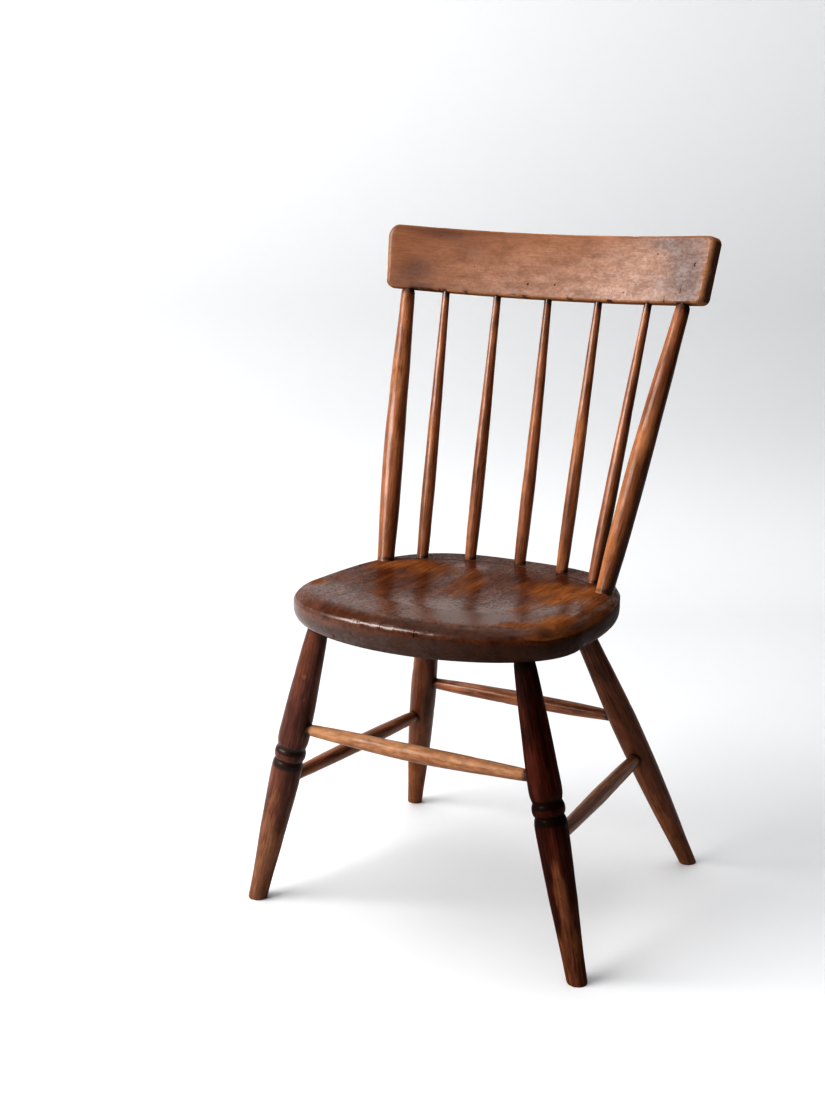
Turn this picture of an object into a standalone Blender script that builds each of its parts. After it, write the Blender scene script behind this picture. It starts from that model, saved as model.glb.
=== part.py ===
"""Spindle back chair: a saddled seat on four turned legs with four stretchers, and a back of two
posts and five spindles under a curved rail. Metres, +Z up, the chair faces -Y.

Every turned piece is one solid with its own round tenons, and every socket is cut from the same
axis and diameter as the tenon that fills it."""

import math

import bmesh
import bpy
from mathutils import Matrix, Vector

# Seat. Its own origin lies on the top plane, at the widest line.
SEAT_HEIGHT = 0.438
SEAT_HALF_WIDTH = 0.2005
SEAT_FRONT_REACH = 0.130
SEAT_REAR_REACH = 0.252
SEAT_REAR_TAPER_SHARE = 0.04
SEAT_FRONT_POWER = 2.05
SEAT_REAR_POWER = 3.2
SEAT_THICKNESS = 0.043
SEAT_TILT = math.radians(1.5)
SEAT_POINTS = 80

# The seat's top rolls over to an arris, below which the side stands upright
FRONT_ROLL_WIDTH = 0.024
REAR_ROLL_WIDTH = 0.007
FRONT_ROLL_DROP = 0.008
REAR_ROLL_DROP = 0.004
SIDE_ROLL_EXTRA_WIDTH = 0.008
SIDE_ROLL_EXTRA_DROP = 0.007
ROLL_STEPS = 3
UNDER_CUT_WIDTH = 0.007
SIDE_UNDER_CUT_EXTRA = 0.007
UNDER_CUT_HEIGHT = 0.018
UNDER_CUT_STEPS = 3

# Saddle hollow and the scribed groove behind it
HOLLOW_DEPTH = 0.007
HOLLOW_HALF_WIDTH = 0.158
HOLLOW_HALF_LENGTH = 0.108
HOLLOW_CENTRE_Y = 0.058
HOLLOW_RIM_SHARE = 1.4
HOLLOW_RINGS = 7
HOLLOW_SIDES = 48
GROOVE_WIDTH = 0.003
GROOVE_DEPTH = 0.0015
GROOVE_AHEAD_OF_SPINDLE = 0.017
GROOVE_STEPS = 36

# Crest rail, a board bent to an arc. Its origin is the middle of its lower edge, beyond the seat's rear
RAIL_BOTTOM_HEIGHT = 0.786
RAIL_BEYOND_SEAT = 0.049
RAIL_RAKE = math.radians(15.3)
RAIL_HEIGHT = 0.088
RAIL_THICKNESS = 0.020
RAIL_RADIUS = 0.90
RAIL_TOP_HALF_LENGTH = 0.2475
RAIL_BOTTOM_LENGTH_SHARE = 0.9677
RAIL_TOP_LEFT_CORNER = 0.018
RAIL_TOP_RIGHT_CORNER = 0.011
RAIL_BOTTOM_CORNER = 0.0085
RAIL_EDGE = 0.0025
RAIL_EDGE_STEPS = 2
RAIL_COLUMNS = 32
RAIL_CORNER_STEPS = 5

# Place of each stick: share of the seat's half width, of its rear reach, and of the rail's half length
POST_PLACE_SHARES = (0.820, 0.575, 0.871)
SPINDLE_PLACE_SHARES = (
    (-0.648, 0.739, -0.638),
    (-0.349, 0.855, -0.319),
    (0.000, 0.909, 0.000),
    (0.349, 0.855, 0.319),
    (0.648, 0.739, 0.638),
)

# Back posts
POST_BASE_DIAMETER = 0.023
POST_BELLY_DIAMETER = 0.028
POST_TOP_DIAMETER = 0.0192
POST_TENON_DIAMETER = 0.0135
POST_NECK_LENGTH = 0.008
POST_NECK_STEPS = 3
POST_BELLY_SHARE = 0.36
POST_TAPER_POWER = 1.9
POST_BOW = 0.0035
POST_SIDES = 20

# Spindles
SPINDLE_BASE_DIAMETER = 0.016
SPINDLE_BELLY_DIAMETER = 0.0178
SPINDLE_TOP_DIAMETER = 0.0104
SPINDLE_BELLY_SHARE = 0.25
SPINDLE_TAPER_POWER = 1.25
SPINDLE_SIDES = 16
MIDDLE_SPINDLE_BOW = 0.0025

# How far the sticks' tenons go into the seat and the rail
POST_SEAT_DEPTH = 0.028
SPINDLE_SEAT_DEPTH = 0.024
STICK_RAIL_DEPTH = 0.020
STICK_STEPS = 9

# Legs. A foot's place is on the floor, from the middle of the seat's widest line.
FRONT_FEET_SPREAD = 0.476
REAR_FEET_SPREAD = 0.449
FRONT_FEET_AHEAD = 0.072
REAR_FEET_BEYOND_SEAT = 0.078
FRONT_LEG_SEAT_SHARES = (0.730, 0.377)
REAR_LEG_SEAT_SHARES = (0.544, 0.698)
LEG_TENON_DIAMETER = 0.024
LEG_TENON_DEPTH = 0.026
LEG_TENON_START_SHARE = 0.975
FRONT_LEG_RING_DIAMETER = 0.0412
REAR_LEG_BELLY_DIAMETER = 0.0372
FOOT_OVERRUN = 0.016
LEG_SIDES = 24

# Turned shape of each leg: share of its length above the floor, share of its widest diameter
FRONT_LEG_PROFILE_SHARES = (
    (0.000, 0.607),
    (0.151, 0.718),
    (0.302, 0.874),
    (0.400, 0.957),
    (0.470, 0.988),
    (0.500, 0.968),
    (0.509, 0.935),
    (0.512, 0.900),
    (0.515, 0.935),
    (0.523, 0.985),
    (0.533, 1.000),
    (0.543, 0.985),
    (0.551, 0.950),
    (0.565, 0.945),
    (0.580, 0.975),
    (0.600, 1.000),
    (0.686, 0.945),
    (0.809, 0.840),
    (0.910, 0.715),
)
REAR_LEG_PROFILE_SHARES = (
    (0.000, 0.595),
    (0.100, 0.680),
    (0.214, 0.820),
    (0.344, 0.922),
    (0.457, 0.985),
    (0.540, 1.000),
    (0.656, 0.945),
    (0.734, 0.887),
    (0.809, 0.820),
    (0.910, 0.730),
)

# Stretchers
FRONT_STRETCHER_HEIGHT = 0.250
REAR_STRETCHER_HEIGHT = 0.2325
SIDE_STRETCHER_HEIGHT = 0.174
FRONT_STRETCHER_END_DIAMETER = 0.0145
FRONT_STRETCHER_MIDDLE_DIAMETER = 0.0222
FRONT_STRETCHER_BOW = 0.0025
REAR_STRETCHER_END_DIAMETER = 0.015
REAR_STRETCHER_MIDDLE_DIAMETER = 0.021
SIDE_STRETCHER_END_DIAMETER = 0.016
SIDE_STRETCHER_MIDDLE_DIAMETER = 0.021
STRETCHER_TAPER_POWER = 1.5
STRETCHER_TENON_DEPTH = 0.018
STRETCHER_SIDES = 16
STRETCHER_STEPS = 10

# Fits
FIT_CLEARANCE = 0.0003
TENON_CHAMFER = 0.001
CUT_OVERRUN = 0.025
MERGE_DISTANCE = 0.000001
SHARP_ANGLE = math.radians(35)

# Wood of each piece: colour, roughness
SEAT_WOOD = ((0.095, 0.045, 0.026, 1.0), 0.42)
RAIL_WOOD = ((0.270, 0.115, 0.060, 1.0), 0.40)
STICK_WOOD = ((0.150, 0.052, 0.024, 1.0), 0.34)
LEG_WOOD = ((0.085, 0.024, 0.014, 1.0), 0.34)
WORN_STRETCHER_WOOD = ((0.240, 0.115, 0.048, 1.0), 0.40)
STRETCHER_WOOD = ((0.110, 0.036, 0.018, 1.0), 0.36)


def clear_scene():
    """Empties the file without closing it."""
    for thing in list(bpy.data.objects):
        bpy.data.objects.remove(thing, do_unlink=True)


def wood(name, look):
    """A Principled material of one piece's own colour."""
    colour, roughness = look
    material = bpy.data.materials.new(name + "_wood")
    material.use_nodes = True
    shader = material.node_tree.nodes["Principled BSDF"]
    shader.inputs["Base Color"].default_value = colour
    shader.inputs["Roughness"].default_value = roughness
    shader.inputs["Metallic"].default_value = 0.0
    material.diffuse_color = colour
    return material


def place(name, mesh, parent, matrix):
    """Links a mesh as an object under its parent."""
    thing = bpy.data.objects.new(name, mesh)
    bpy.context.scene.collection.objects.link(thing)
    thing.parent = parent
    thing.matrix_basis = matrix
    return thing


def make_piece(name, bm, parent, matrix, look):
    """Turns a bmesh into a named, smooth shaded piece with its own wood."""
    bmesh.ops.recalc_face_normals(bm, faces=bm.faces)
    mesh = bpy.data.meshes.new(name)
    bm.to_mesh(mesh)
    bm.free()
    mesh.materials.append(wood(name, look))
    mesh.shade_smooth()
    mesh.set_sharp_from_angle(angle=SHARP_ANGLE)
    return place(name, mesh, parent, matrix)


def cut(target, name, bm, parent, matrix):
    """Takes a cutter's shape out of a piece with an exact Boolean."""
    bmesh.ops.recalc_face_normals(bm, faces=bm.faces)
    mesh = bpy.data.meshes.new(name)
    bm.to_mesh(mesh)
    bm.free()
    cutter = place(name, mesh, parent, matrix)
    cutter.hide_render = True
    cutter.display_type = "WIRE"
    boolean = target.modifiers.new(name, "BOOLEAN")
    boolean.operation = "DIFFERENCE"
    boolean.solver = "EXACT"
    boolean.object = cutter


def axis_matrix(start, end):
    """A frame at start whose Z runs to end and whose Y leans towards the chair's back."""
    z = (end - start).normalized()
    across = Vector((0, 1, 0)) if abs(z.y) < abs(z.x) or abs(z.y) < abs(z.z) else Vector((0, 0, 1))
    y = (across - z * across.dot(z)).normalized()
    turn = Matrix((y.cross(z), y, z)).transposed()
    return Matrix.Translation(start) @ turn.to_4x4()


def spin(profile, sides):
    """A closed turned solid from (height, radius) points between two ends on the axis."""
    bm = bmesh.new()
    ends = [(profile[0][0], 0)] + list(profile) + [(profile[-1][0], 0)]
    verts = [bm.verts.new((radius, 0, height)) for height, radius in ends]
    edges = [bm.edges.new(pair) for pair in zip(verts, verts[1:])]
    bmesh.ops.spin(
        bm,
        geom=verts + edges,
        cent=(0, 0, 0),
        axis=(0, 0, 1),
        angle=math.tau,
        steps=sides,
        use_merge=True,
    )
    bmesh.ops.remove_doubles(bm, verts=bm.verts, dist=MERGE_DISTANCE)
    return bm


def bow(bm, length, amount, direction):
    """Bends a turned solid sideways between its two ends, and leaves its tenons straight."""
    for vert in bm.verts:
        share = min(max(vert.co.z / length, 0), 1)
        vert.co += direction * (amount * math.sin(math.pi * share) ** 2)


def with_tenons(body, length, start, end):
    """Adds a chamfered tenon to each end of a turned body. start and end are (radius, depth)."""
    (start_radius, start_depth), (end_radius, end_depth) = start, end
    foot = [
        (-start_depth, start_radius - TENON_CHAMFER),
        (-start_depth + TENON_CHAMFER, start_radius),
    ]
    head = [
        (length + end_depth - TENON_CHAMFER, end_radius),
        (length + end_depth, end_radius - TENON_CHAMFER),
    ]
    return foot + body + head


def socket(target, name, parent, axis, radius, bottom, top, sides):
    """Bores a round socket about an axis, its flats one clearance outside the tenon."""
    bm = bmesh.new()
    rim = (radius + FIT_CLEARANCE) / math.cos(math.pi / sides)
    middle = (bottom + top) / 2
    bmesh.ops.create_cone(
        bm,
        cap_ends=True,
        segments=sides,
        radius1=rim,
        radius2=rim,
        depth=top - bottom,
        matrix=Matrix.Translation((0, 0, middle)),
    )
    cut(target, name, bm, parent, axis)


def swell(share, base, belly, tip, belly_share, power):
    """Diameter of a stick that swells from its base to a belly and tapers to its tip."""
    if share < belly_share:
        return belly - (belly - base) * (1 - share / belly_share) ** power
    return belly - (belly - tip) * ((share - belly_share) / (1 - belly_share)) ** power


def profile_width(shares, share):
    """Width share of a turned profile at a share of its length."""
    for (low, low_width), (high, high_width) in zip(shares, shares[1:]):
        if share <= high:
            return low_width + (high_width - low_width) * (share - low) / (high - low)
    return shares[-1][1]


def lean_margin(axis, normal, radius):
    """How far along its axis a leaning round tenon crosses a flat face."""
    cosine = abs(axis.normalized().dot(normal.normalized()))
    return radius * math.sqrt(1 - cosine * cosine) / cosine


# Seat

SEAT_FRAME = Matrix.Translation((0, 0, SEAT_HEIGHT)) @ Matrix.Rotation(-SEAT_TILT, 4, "X")
SEAT_UP = SEAT_FRAME.to_3x3() @ Vector((0, 0, 1))


def seat_edge(angle, inset):
    """Point of the seat's outline at this angle, moved inwards by inset."""
    across, along = math.cos(angle), math.sin(angle)
    reach = SEAT_FRONT_REACH if along < 0 else SEAT_REAR_REACH
    power = SEAT_FRONT_POWER if along < 0 else SEAT_REAR_POWER
    radius = (abs(across / SEAT_HALF_WIDTH) ** power + abs(along / reach) ** power) ** (-1 / power)
    x, y = radius * across, radius * along
    narrowing = 1 - SEAT_REAR_TAPER_SHARE * max(y, 0) / SEAT_REAR_REACH
    normal = Vector(
        (
            math.copysign(abs(x / SEAT_HALF_WIDTH) ** (power - 1) / SEAT_HALF_WIDTH, x),
            math.copysign(abs(y / reach) ** (power - 1) / reach, y),
        )
    ).normalized()
    return x * narrowing - inset * normal.x, y - inset * normal.y


def roll_at(angle):
    """Width and drop of the rolled top edge: broad in front, narrow at the back, deeper at the sides."""
    front_share = (1 - math.sin(angle)) / 2
    side_share = math.cos(angle) ** 2
    width = REAR_ROLL_WIDTH + (FRONT_ROLL_WIDTH - REAR_ROLL_WIDTH) * front_share
    drop = REAR_ROLL_DROP + (FRONT_ROLL_DROP - REAR_ROLL_DROP) * front_share
    return width + SIDE_ROLL_EXTRA_WIDTH * side_share, drop + SIDE_ROLL_EXTRA_DROP * side_share


def seat_levels(angle):
    """(inset, height) of each ring of the seat's edge, from the top plane to the underside."""
    width, drop = roll_at(angle)
    levels = []
    for step in range(ROLL_STEPS + 1):
        turn = math.pi / 2 * step / ROLL_STEPS
        levels.append((width * (1 - math.sin(turn)), -drop * (1 - math.cos(turn))))
    under_cut = UNDER_CUT_WIDTH + SIDE_UNDER_CUT_EXTRA * math.cos(angle) ** 2
    for step in range(UNDER_CUT_STEPS + 1):
        turn = math.pi / 2 * step / UNDER_CUT_STEPS
        height = UNDER_CUT_HEIGHT * (1 - math.sin(turn)) - SEAT_THICKNESS
        levels.append((under_cut * (1 - math.cos(turn)), height))
    return levels


def seat_point(x_share, y_share):
    """Place on the seat's top plane, by shares of its half width and of its reach."""
    reach = SEAT_FRONT_REACH if y_share < 0 else SEAT_REAR_REACH
    return SEAT_FRAME @ Vector((x_share * SEAT_HALF_WIDTH, y_share * reach, 0))


def make_seat(parent):
    """The saddled board, before its sockets are bored."""
    bm = bmesh.new()
    angles = [math.tau * (i + 0.5) / SEAT_POINTS for i in range(SEAT_POINTS)]
    rings = []
    for level in range(len(seat_levels(0))):
        ring = []
        for angle in angles:
            inset, height = seat_levels(angle)[level]
            ring.append(bm.verts.new((*seat_edge(angle, inset), height)))
        rings.append(ring)
    for upper, lower in zip(rings, rings[1:]):
        for i in range(SEAT_POINTS):
            j = (i + 1) % SEAT_POINTS
            bm.faces.new((upper[i], lower[i], lower[j], upper[j]))
    bm.faces.new(rings[0])
    bm.faces.new(list(reversed(rings[-1])))
    return make_piece("seat", bm, parent, SEAT_FRAME, SEAT_WOOD)


def cut_hollow(seat, parent):
    """Hollows the seat with a shallow bowl in front of the groove."""
    bowl = []
    for step in range(HOLLOW_RINGS + 1):
        share = HOLLOW_RIM_SHARE * step / HOLLOW_RINGS
        bowl.append((HOLLOW_DEPTH * (share * share - 1), share))
    bm = spin(bowl, HOLLOW_SIDES)
    bmesh.ops.scale(bm, vec=(HOLLOW_HALF_WIDTH, HOLLOW_HALF_LENGTH, 1), verts=bm.verts)
    bmesh.ops.translate(bm, vec=(0, HOLLOW_CENTRE_Y, 0), verts=bm.verts)
    cut(seat, "cutter_hollow", bm, parent, SEAT_FRAME)


def groove_arc():
    """Centre and radius of the groove, which runs through the posts and ahead of the middle spindle."""
    post_x = POST_PLACE_SHARES[0] * SEAT_HALF_WIDTH
    post_y = POST_PLACE_SHARES[1] * SEAT_REAR_REACH
    middle_y = SPINDLE_PLACE_SHARES[2][1] * SEAT_REAR_REACH - GROOVE_AHEAD_OF_SPINDLE
    rise = middle_y - post_y
    radius = (post_x * post_x + rise * rise) / (2 * rise)
    return middle_y - radius, radius


def cut_groove(seat, parent):
    """Scribes the groove with a V section swept along its arc, past both sides of the seat."""
    centre_y, radius = groove_arc()
    half_turn = math.asin(min((SEAT_HALF_WIDTH + GROOVE_WIDTH) / radius, 1))
    section = (
        (-GROOVE_WIDTH, GROOVE_DEPTH),
        (0, -GROOVE_DEPTH),
        (GROOVE_WIDTH, GROOVE_DEPTH),
    )
    bm = bmesh.new()
    rings = []
    for step in range(GROOVE_STEPS + 1):
        turn = half_turn * (2 * step / GROOVE_STEPS - 1)
        ring = []
        for out, height in section:
            reach = radius + out
            x, y = reach * math.sin(turn), centre_y + reach * math.cos(turn)
            ring.append(bm.verts.new((x, y, height)))
        rings.append(ring)
    for first, second in zip(rings, rings[1:]):
        for i in range(len(section)):
            j = (i + 1) % len(section)
            bm.faces.new((first[i], first[j], second[j], second[i]))
    bm.faces.new(rings[0])
    bm.faces.new(rings[-1])
    cut(seat, "cutter_groove", bm, parent, SEAT_FRAME)


# Crest rail

RAIL_MIDDLE = Vector((0, SEAT_REAR_REACH + RAIL_BEYOND_SEAT, RAIL_BOTTOM_HEIGHT))
RAIL_FRAME = Matrix.Translation(RAIL_MIDDLE) @ Matrix.Rotation(-RAIL_RAKE, 4, "X")
RAIL_UP = RAIL_FRAME.to_3x3() @ Vector((0, 0, 1))


def rail_local(along, up, out):
    """Point of the bent board: along its arc, up its face, and out of its front."""
    turn = along / RAIL_RADIUS
    reach = RAIL_RADIUS - out
    return Vector((reach * math.sin(turn), reach * math.cos(turn) - RAIL_RADIUS, up))


def rail_half_length(up):
    """The board is longer along its top than along its bottom."""
    bottom = RAIL_TOP_HALF_LENGTH * RAIL_BOTTOM_LENGTH_SHARE
    return bottom + (RAIL_TOP_HALF_LENGTH - bottom) * up / RAIL_HEIGHT


def corner_cut(from_end, corner):
    """How much a round corner takes off the board's height, this far from its end."""
    inside = max(corner - from_end, 0)
    return corner - math.sqrt(max(corner * corner - inside * inside, 0))


def rail_stations(corner):
    """Distances from the board's end to its middle, close together round its corner."""
    round_part = [
        corner * (1 - math.cos(math.pi / 2 * i / RAIL_CORNER_STEPS))
        for i in range(RAIL_CORNER_STEPS + 1)
    ]
    flat = RAIL_TOP_HALF_LENGTH - corner
    half = RAIL_COLUMNS // 2
    return round_part + [corner + flat * i / half for i in range(1, half + 1)]


def make_rail(parent):
    """The bent board with rounded corners and eased edges, before its sockets are bored."""
    left = [(-1, distance, RAIL_TOP_LEFT_CORNER) for distance in rail_stations(RAIL_TOP_LEFT_CORNER)]
    right = [(1, distance, RAIL_TOP_RIGHT_CORNER) for distance in rail_stations(RAIL_TOP_RIGHT_CORNER)]
    half_thickness = RAIL_THICKNESS / 2
    bm = bmesh.new()
    rings = []
    for side, distance, top_corner in left + right[-2::-1]:
        low = corner_cut(distance, RAIL_BOTTOM_CORNER)
        high = RAIL_HEIGHT - corner_cut(distance, top_corner)
        ring = []
        for up, out in (
            (low, -half_thickness),
            (low, half_thickness),
            (high, half_thickness),
            (high, -half_thickness),
        ):
            along = side * (rail_half_length(up) - distance * rail_half_length(up) / RAIL_TOP_HALF_LENGTH)
            ring.append(bm.verts.new(rail_local(along, up, out)))
        rings.append(ring)
    for first, second in zip(rings, rings[1:]):
        for i in range(len(first)):
            j = (i + 1) % len(first)
            bm.faces.new((first[i], first[j], second[j], second[i]))
    bm.faces.new(rings[0])
    bm.faces.new(rings[-1])
    rail = make_piece("crest_rail", bm, parent, RAIL_FRAME, RAIL_WOOD)
    ease = rail.modifiers.new("eased_edges", "BEVEL")
    ease.width = RAIL_EDGE
    ease.segments = RAIL_EDGE_STEPS
    ease.limit_method = "ANGLE"
    ease.angle_limit = SHARP_ANGLE
    ease.use_clamp_overlap = True
    return rail


# Posts and spindles


def stick_axis(shares):
    """A stick's two ends: on the seat's top plane, and where it enters the rail's lower edge."""
    x_share, y_share, rail_share = shares
    start = seat_point(x_share, y_share)
    half_depth = STICK_RAIL_DEPTH / 2
    aim = RAIL_FRAME @ rail_local(rail_share * rail_half_length(0), half_depth, 0)
    direction = (aim - start).normalized()
    end = aim - direction * half_depth / direction.dot(RAIL_UP)
    return start, end


def bore_stick(name, seat, rail, parent, start, end, seat_fit, rail_fit, sides):
    """Bores both sockets of a stick. Each fit is (radius, depth)."""
    axis = axis_matrix(start, end)
    length = (end - start).length
    seat_radius, seat_depth = seat_fit
    rail_radius, rail_depth = rail_fit
    bottom = -seat_depth - FIT_CLEARANCE
    socket(seat, "cutter_" + name + "_seat", parent, axis, seat_radius, bottom, CUT_OVERRUN, sides)
    top = length + rail_depth + FIT_CLEARANCE
    socket(
        rail, "cutter_" + name + "_rail", parent, axis, rail_radius, length - CUT_OVERRUN, top, sides
    )


def make_post(name, side, seat, rail, parent):
    """A back post: straight into the seat, shouldered to a thinner tenon under the rail."""
    x_share, y_share, rail_share = POST_PLACE_SHARES
    start, end = stick_axis((side * x_share, y_share, side * rail_share))
    length = (end - start).length
    base_radius = POST_BASE_DIAMETER / 2
    tenon_radius = POST_TENON_DIAMETER / 2
    rise = lean_margin(end - start, SEAT_UP, base_radius)
    neck_low = length - lean_margin(end - start, RAIL_UP, tenon_radius)
    shoulder = neck_low - POST_NECK_LENGTH
    body = [(rise, base_radius)]
    for step in range(1, STICK_STEPS + 1):
        height = rise + (shoulder - rise) * step / STICK_STEPS
        share = (height - rise) / (shoulder - rise)
        width = swell(
            share,
            POST_BASE_DIAMETER,
            POST_BELLY_DIAMETER,
            POST_TOP_DIAMETER,
            POST_BELLY_SHARE,
            POST_TAPER_POWER,
        )
        body.append((height, width / 2))
    top_radius = POST_TOP_DIAMETER / 2
    for step in range(1, POST_NECK_STEPS + 1):
        turn = math.pi / 2 * step / POST_NECK_STEPS
        height = shoulder + POST_NECK_LENGTH * math.sin(turn)
        radius = tenon_radius + (top_radius - tenon_radius) * math.cos(turn)
        body.append((height, radius))
    seat_fit = (base_radius, POST_SEAT_DEPTH)
    rail_fit = (tenon_radius, STICK_RAIL_DEPTH)
    bm = spin(with_tenons(body, length, seat_fit, rail_fit), POST_SIDES)
    axis = axis_matrix(start, end)
    forward = axis.to_3x3().inverted() @ Vector((0, -1, 0))
    forward.z = 0
    bow(bm, length, POST_BOW, forward.normalized())
    make_piece(name, bm, parent, axis, STICK_WOOD)
    bore_stick(name, seat, rail, parent, start, end, seat_fit, rail_fit, POST_SIDES)


def make_spindle(name, shares, sag, seat, rail, parent):
    """A spindle: thickest low down, straight into the seat and the rail, bowed back by sag."""
    start, end = stick_axis(shares)
    length = (end - start).length
    base_radius = SPINDLE_BASE_DIAMETER / 2
    top_radius = SPINDLE_TOP_DIAMETER / 2
    rise = lean_margin(end - start, SEAT_UP, base_radius)
    reach = length - lean_margin(end - start, RAIL_UP, top_radius)
    body = []
    for step in range(STICK_STEPS + 1):
        share = step / STICK_STEPS
        width = swell(
            share,
            SPINDLE_BASE_DIAMETER,
            SPINDLE_BELLY_DIAMETER,
            SPINDLE_TOP_DIAMETER,
            SPINDLE_BELLY_SHARE,
            SPINDLE_TAPER_POWER,
        )
        body.append((rise + (reach - rise) * share, width / 2))
    seat_fit = (base_radius, SPINDLE_SEAT_DEPTH)
    rail_fit = (top_radius, STICK_RAIL_DEPTH)
    bm = spin(with_tenons(body, length, seat_fit, rail_fit), SPINDLE_SIDES)
    bow(bm, length, sag, Vector((0, 1, 0)))
    make_piece(name, bm, parent, axis_matrix(start, end), STICK_WOOD)
    bore_stick(name, seat, rail, parent, start, end, seat_fit, rail_fit, SPINDLE_SIDES)


# Legs


def leg_axis(side, front):
    """A leg's two ends: its foot on the floor, and where it enters the seat's underside."""
    spread = FRONT_FEET_SPREAD if front else REAR_FEET_SPREAD
    foot_y = -FRONT_FEET_AHEAD if front else SEAT_REAR_REACH + REAR_FEET_BEYOND_SEAT
    x_share, y_share = FRONT_LEG_SEAT_SHARES if front else REAR_LEG_SEAT_SHARES
    top = seat_point(side * x_share, -y_share if front else y_share) - SEAT_UP * SEAT_THICKNESS
    return Vector((side * spread / 2, foot_y, 0)), top


def leg_radius(front, height, length):
    """Radius of a leg this far above its foot, along its axis."""
    shares = FRONT_LEG_PROFILE_SHARES if front else REAR_LEG_PROFILE_SHARES
    widest = FRONT_LEG_RING_DIAMETER if front else REAR_LEG_BELLY_DIAMETER
    return widest * profile_width(shares, height / length) / 2


def make_leg(name, side, front, seat, parent):
    """A turned leg, cut flat on the floor, with a round tenon into the seat's underside."""
    foot, top = leg_axis(side, front)
    length = (top - foot).length
    axis = axis_matrix(foot, top)
    shares = FRONT_LEG_PROFILE_SHARES if front else REAR_LEG_PROFILE_SHARES
    widest = FRONT_LEG_RING_DIAMETER if front else REAR_LEG_BELLY_DIAMETER
    tenon_radius = LEG_TENON_DIAMETER / 2
    profile = [(-FOOT_OVERRUN, widest * shares[0][1] / 2)]
    profile += [(length * share, widest * width / 2) for share, width in shares]
    margin = lean_margin(top - foot, SEAT_UP, tenon_radius)
    profile.append((min(length * LEG_TENON_START_SHARE, length - margin), tenon_radius))
    profile.append((length + LEG_TENON_DEPTH - TENON_CHAMFER, tenon_radius))
    profile.append((length + LEG_TENON_DEPTH, tenon_radius - TENON_CHAMFER))
    bm = spin(profile, LEG_SIDES)
    to_local = axis.inverted()
    floor_normal = to_local.to_3x3() @ Vector((0, 0, 1))
    bmesh.ops.bisect_plane(
        bm,
        geom=bm.verts[:] + bm.edges[:] + bm.faces[:],
        dist=MERGE_DISTANCE,
        plane_co=to_local @ Vector((0, 0, 0)),
        plane_no=floor_normal,
        clear_inner=True,
    )
    bmesh.ops.holes_fill(bm, edges=[edge for edge in bm.edges if edge.is_boundary], sides=0)
    leg = make_piece(name, bm, parent, axis, LEG_WOOD)
    depth = length + LEG_TENON_DEPTH + FIT_CLEARANCE
    low = length - CUT_OVERRUN
    socket(seat, "cutter_" + name, parent, axis, tenon_radius, low, depth, LEG_SIDES)
    return leg


# Stretchers


def leg_point(side, front, height):
    """Point of a leg's axis at a height above the floor, with the leg's radius there."""
    foot, top = leg_axis(side, front)
    share = height / (top.z - foot.z)
    length = (top - foot).length
    return foot.lerp(top, share), leg_radius(front, share * length, length)


def make_stretcher(name, ends, legs, diameters, sag, parent, look):
    """A stretcher between two legs, thickest in the middle, with a tenon bored into each leg."""
    (start, start_leg_radius), (end, end_leg_radius) = ends
    end_diameter, middle_diameter = diameters
    length = (end - start).length
    radius = end_diameter / 2
    axis = axis_matrix(start, end)
    clear = []
    for point, leg_width, leg in ((start, start_leg_radius, legs[0]), (end, end_leg_radius, legs[1])):
        leg_direction = leg.matrix_basis.to_3x3() @ Vector((0, 0, 1))
        slant = abs((end - start).normalized().dot(leg_direction))
        clear.append(leg_width + radius * slant / math.sqrt(1 - slant * slant))
    body = [(clear[0], radius)]
    for step in range(1, STRETCHER_STEPS):
        share = step / STRETCHER_STEPS
        swelling = 1 - abs(2 * share - 1) ** STRETCHER_TAPER_POWER
        width = end_diameter + (middle_diameter - end_diameter) * swelling
        body.append((clear[0] + (length - clear[0] - clear[1]) * share, width / 2))
    body.append((length - clear[1], radius))
    start_depth = STRETCHER_TENON_DEPTH - start_leg_radius
    end_depth = STRETCHER_TENON_DEPTH - end_leg_radius
    profile = with_tenons(body, length, (radius, start_depth), (radius, end_depth))
    bm = spin(profile, STRETCHER_SIDES)
    down = axis.to_3x3().inverted() @ Vector((0, 0, -1))
    bow(bm, length, sag, down)
    make_piece(name, bm, parent, axis, look)
    low = -start_depth - FIT_CLEARANCE
    socket(
        legs[0],
        "cutter_" + name + "_start",
        parent,
        axis,
        radius,
        low,
        clear[0] + CUT_OVERRUN,
        STRETCHER_SIDES,
    )
    high = length + end_depth + FIT_CLEARANCE
    socket(
        legs[1],
        "cutter_" + name + "_end",
        parent,
        axis,
        radius,
        length - clear[1] - CUT_OVERRUN,
        high,
        STRETCHER_SIDES,
    )


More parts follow.
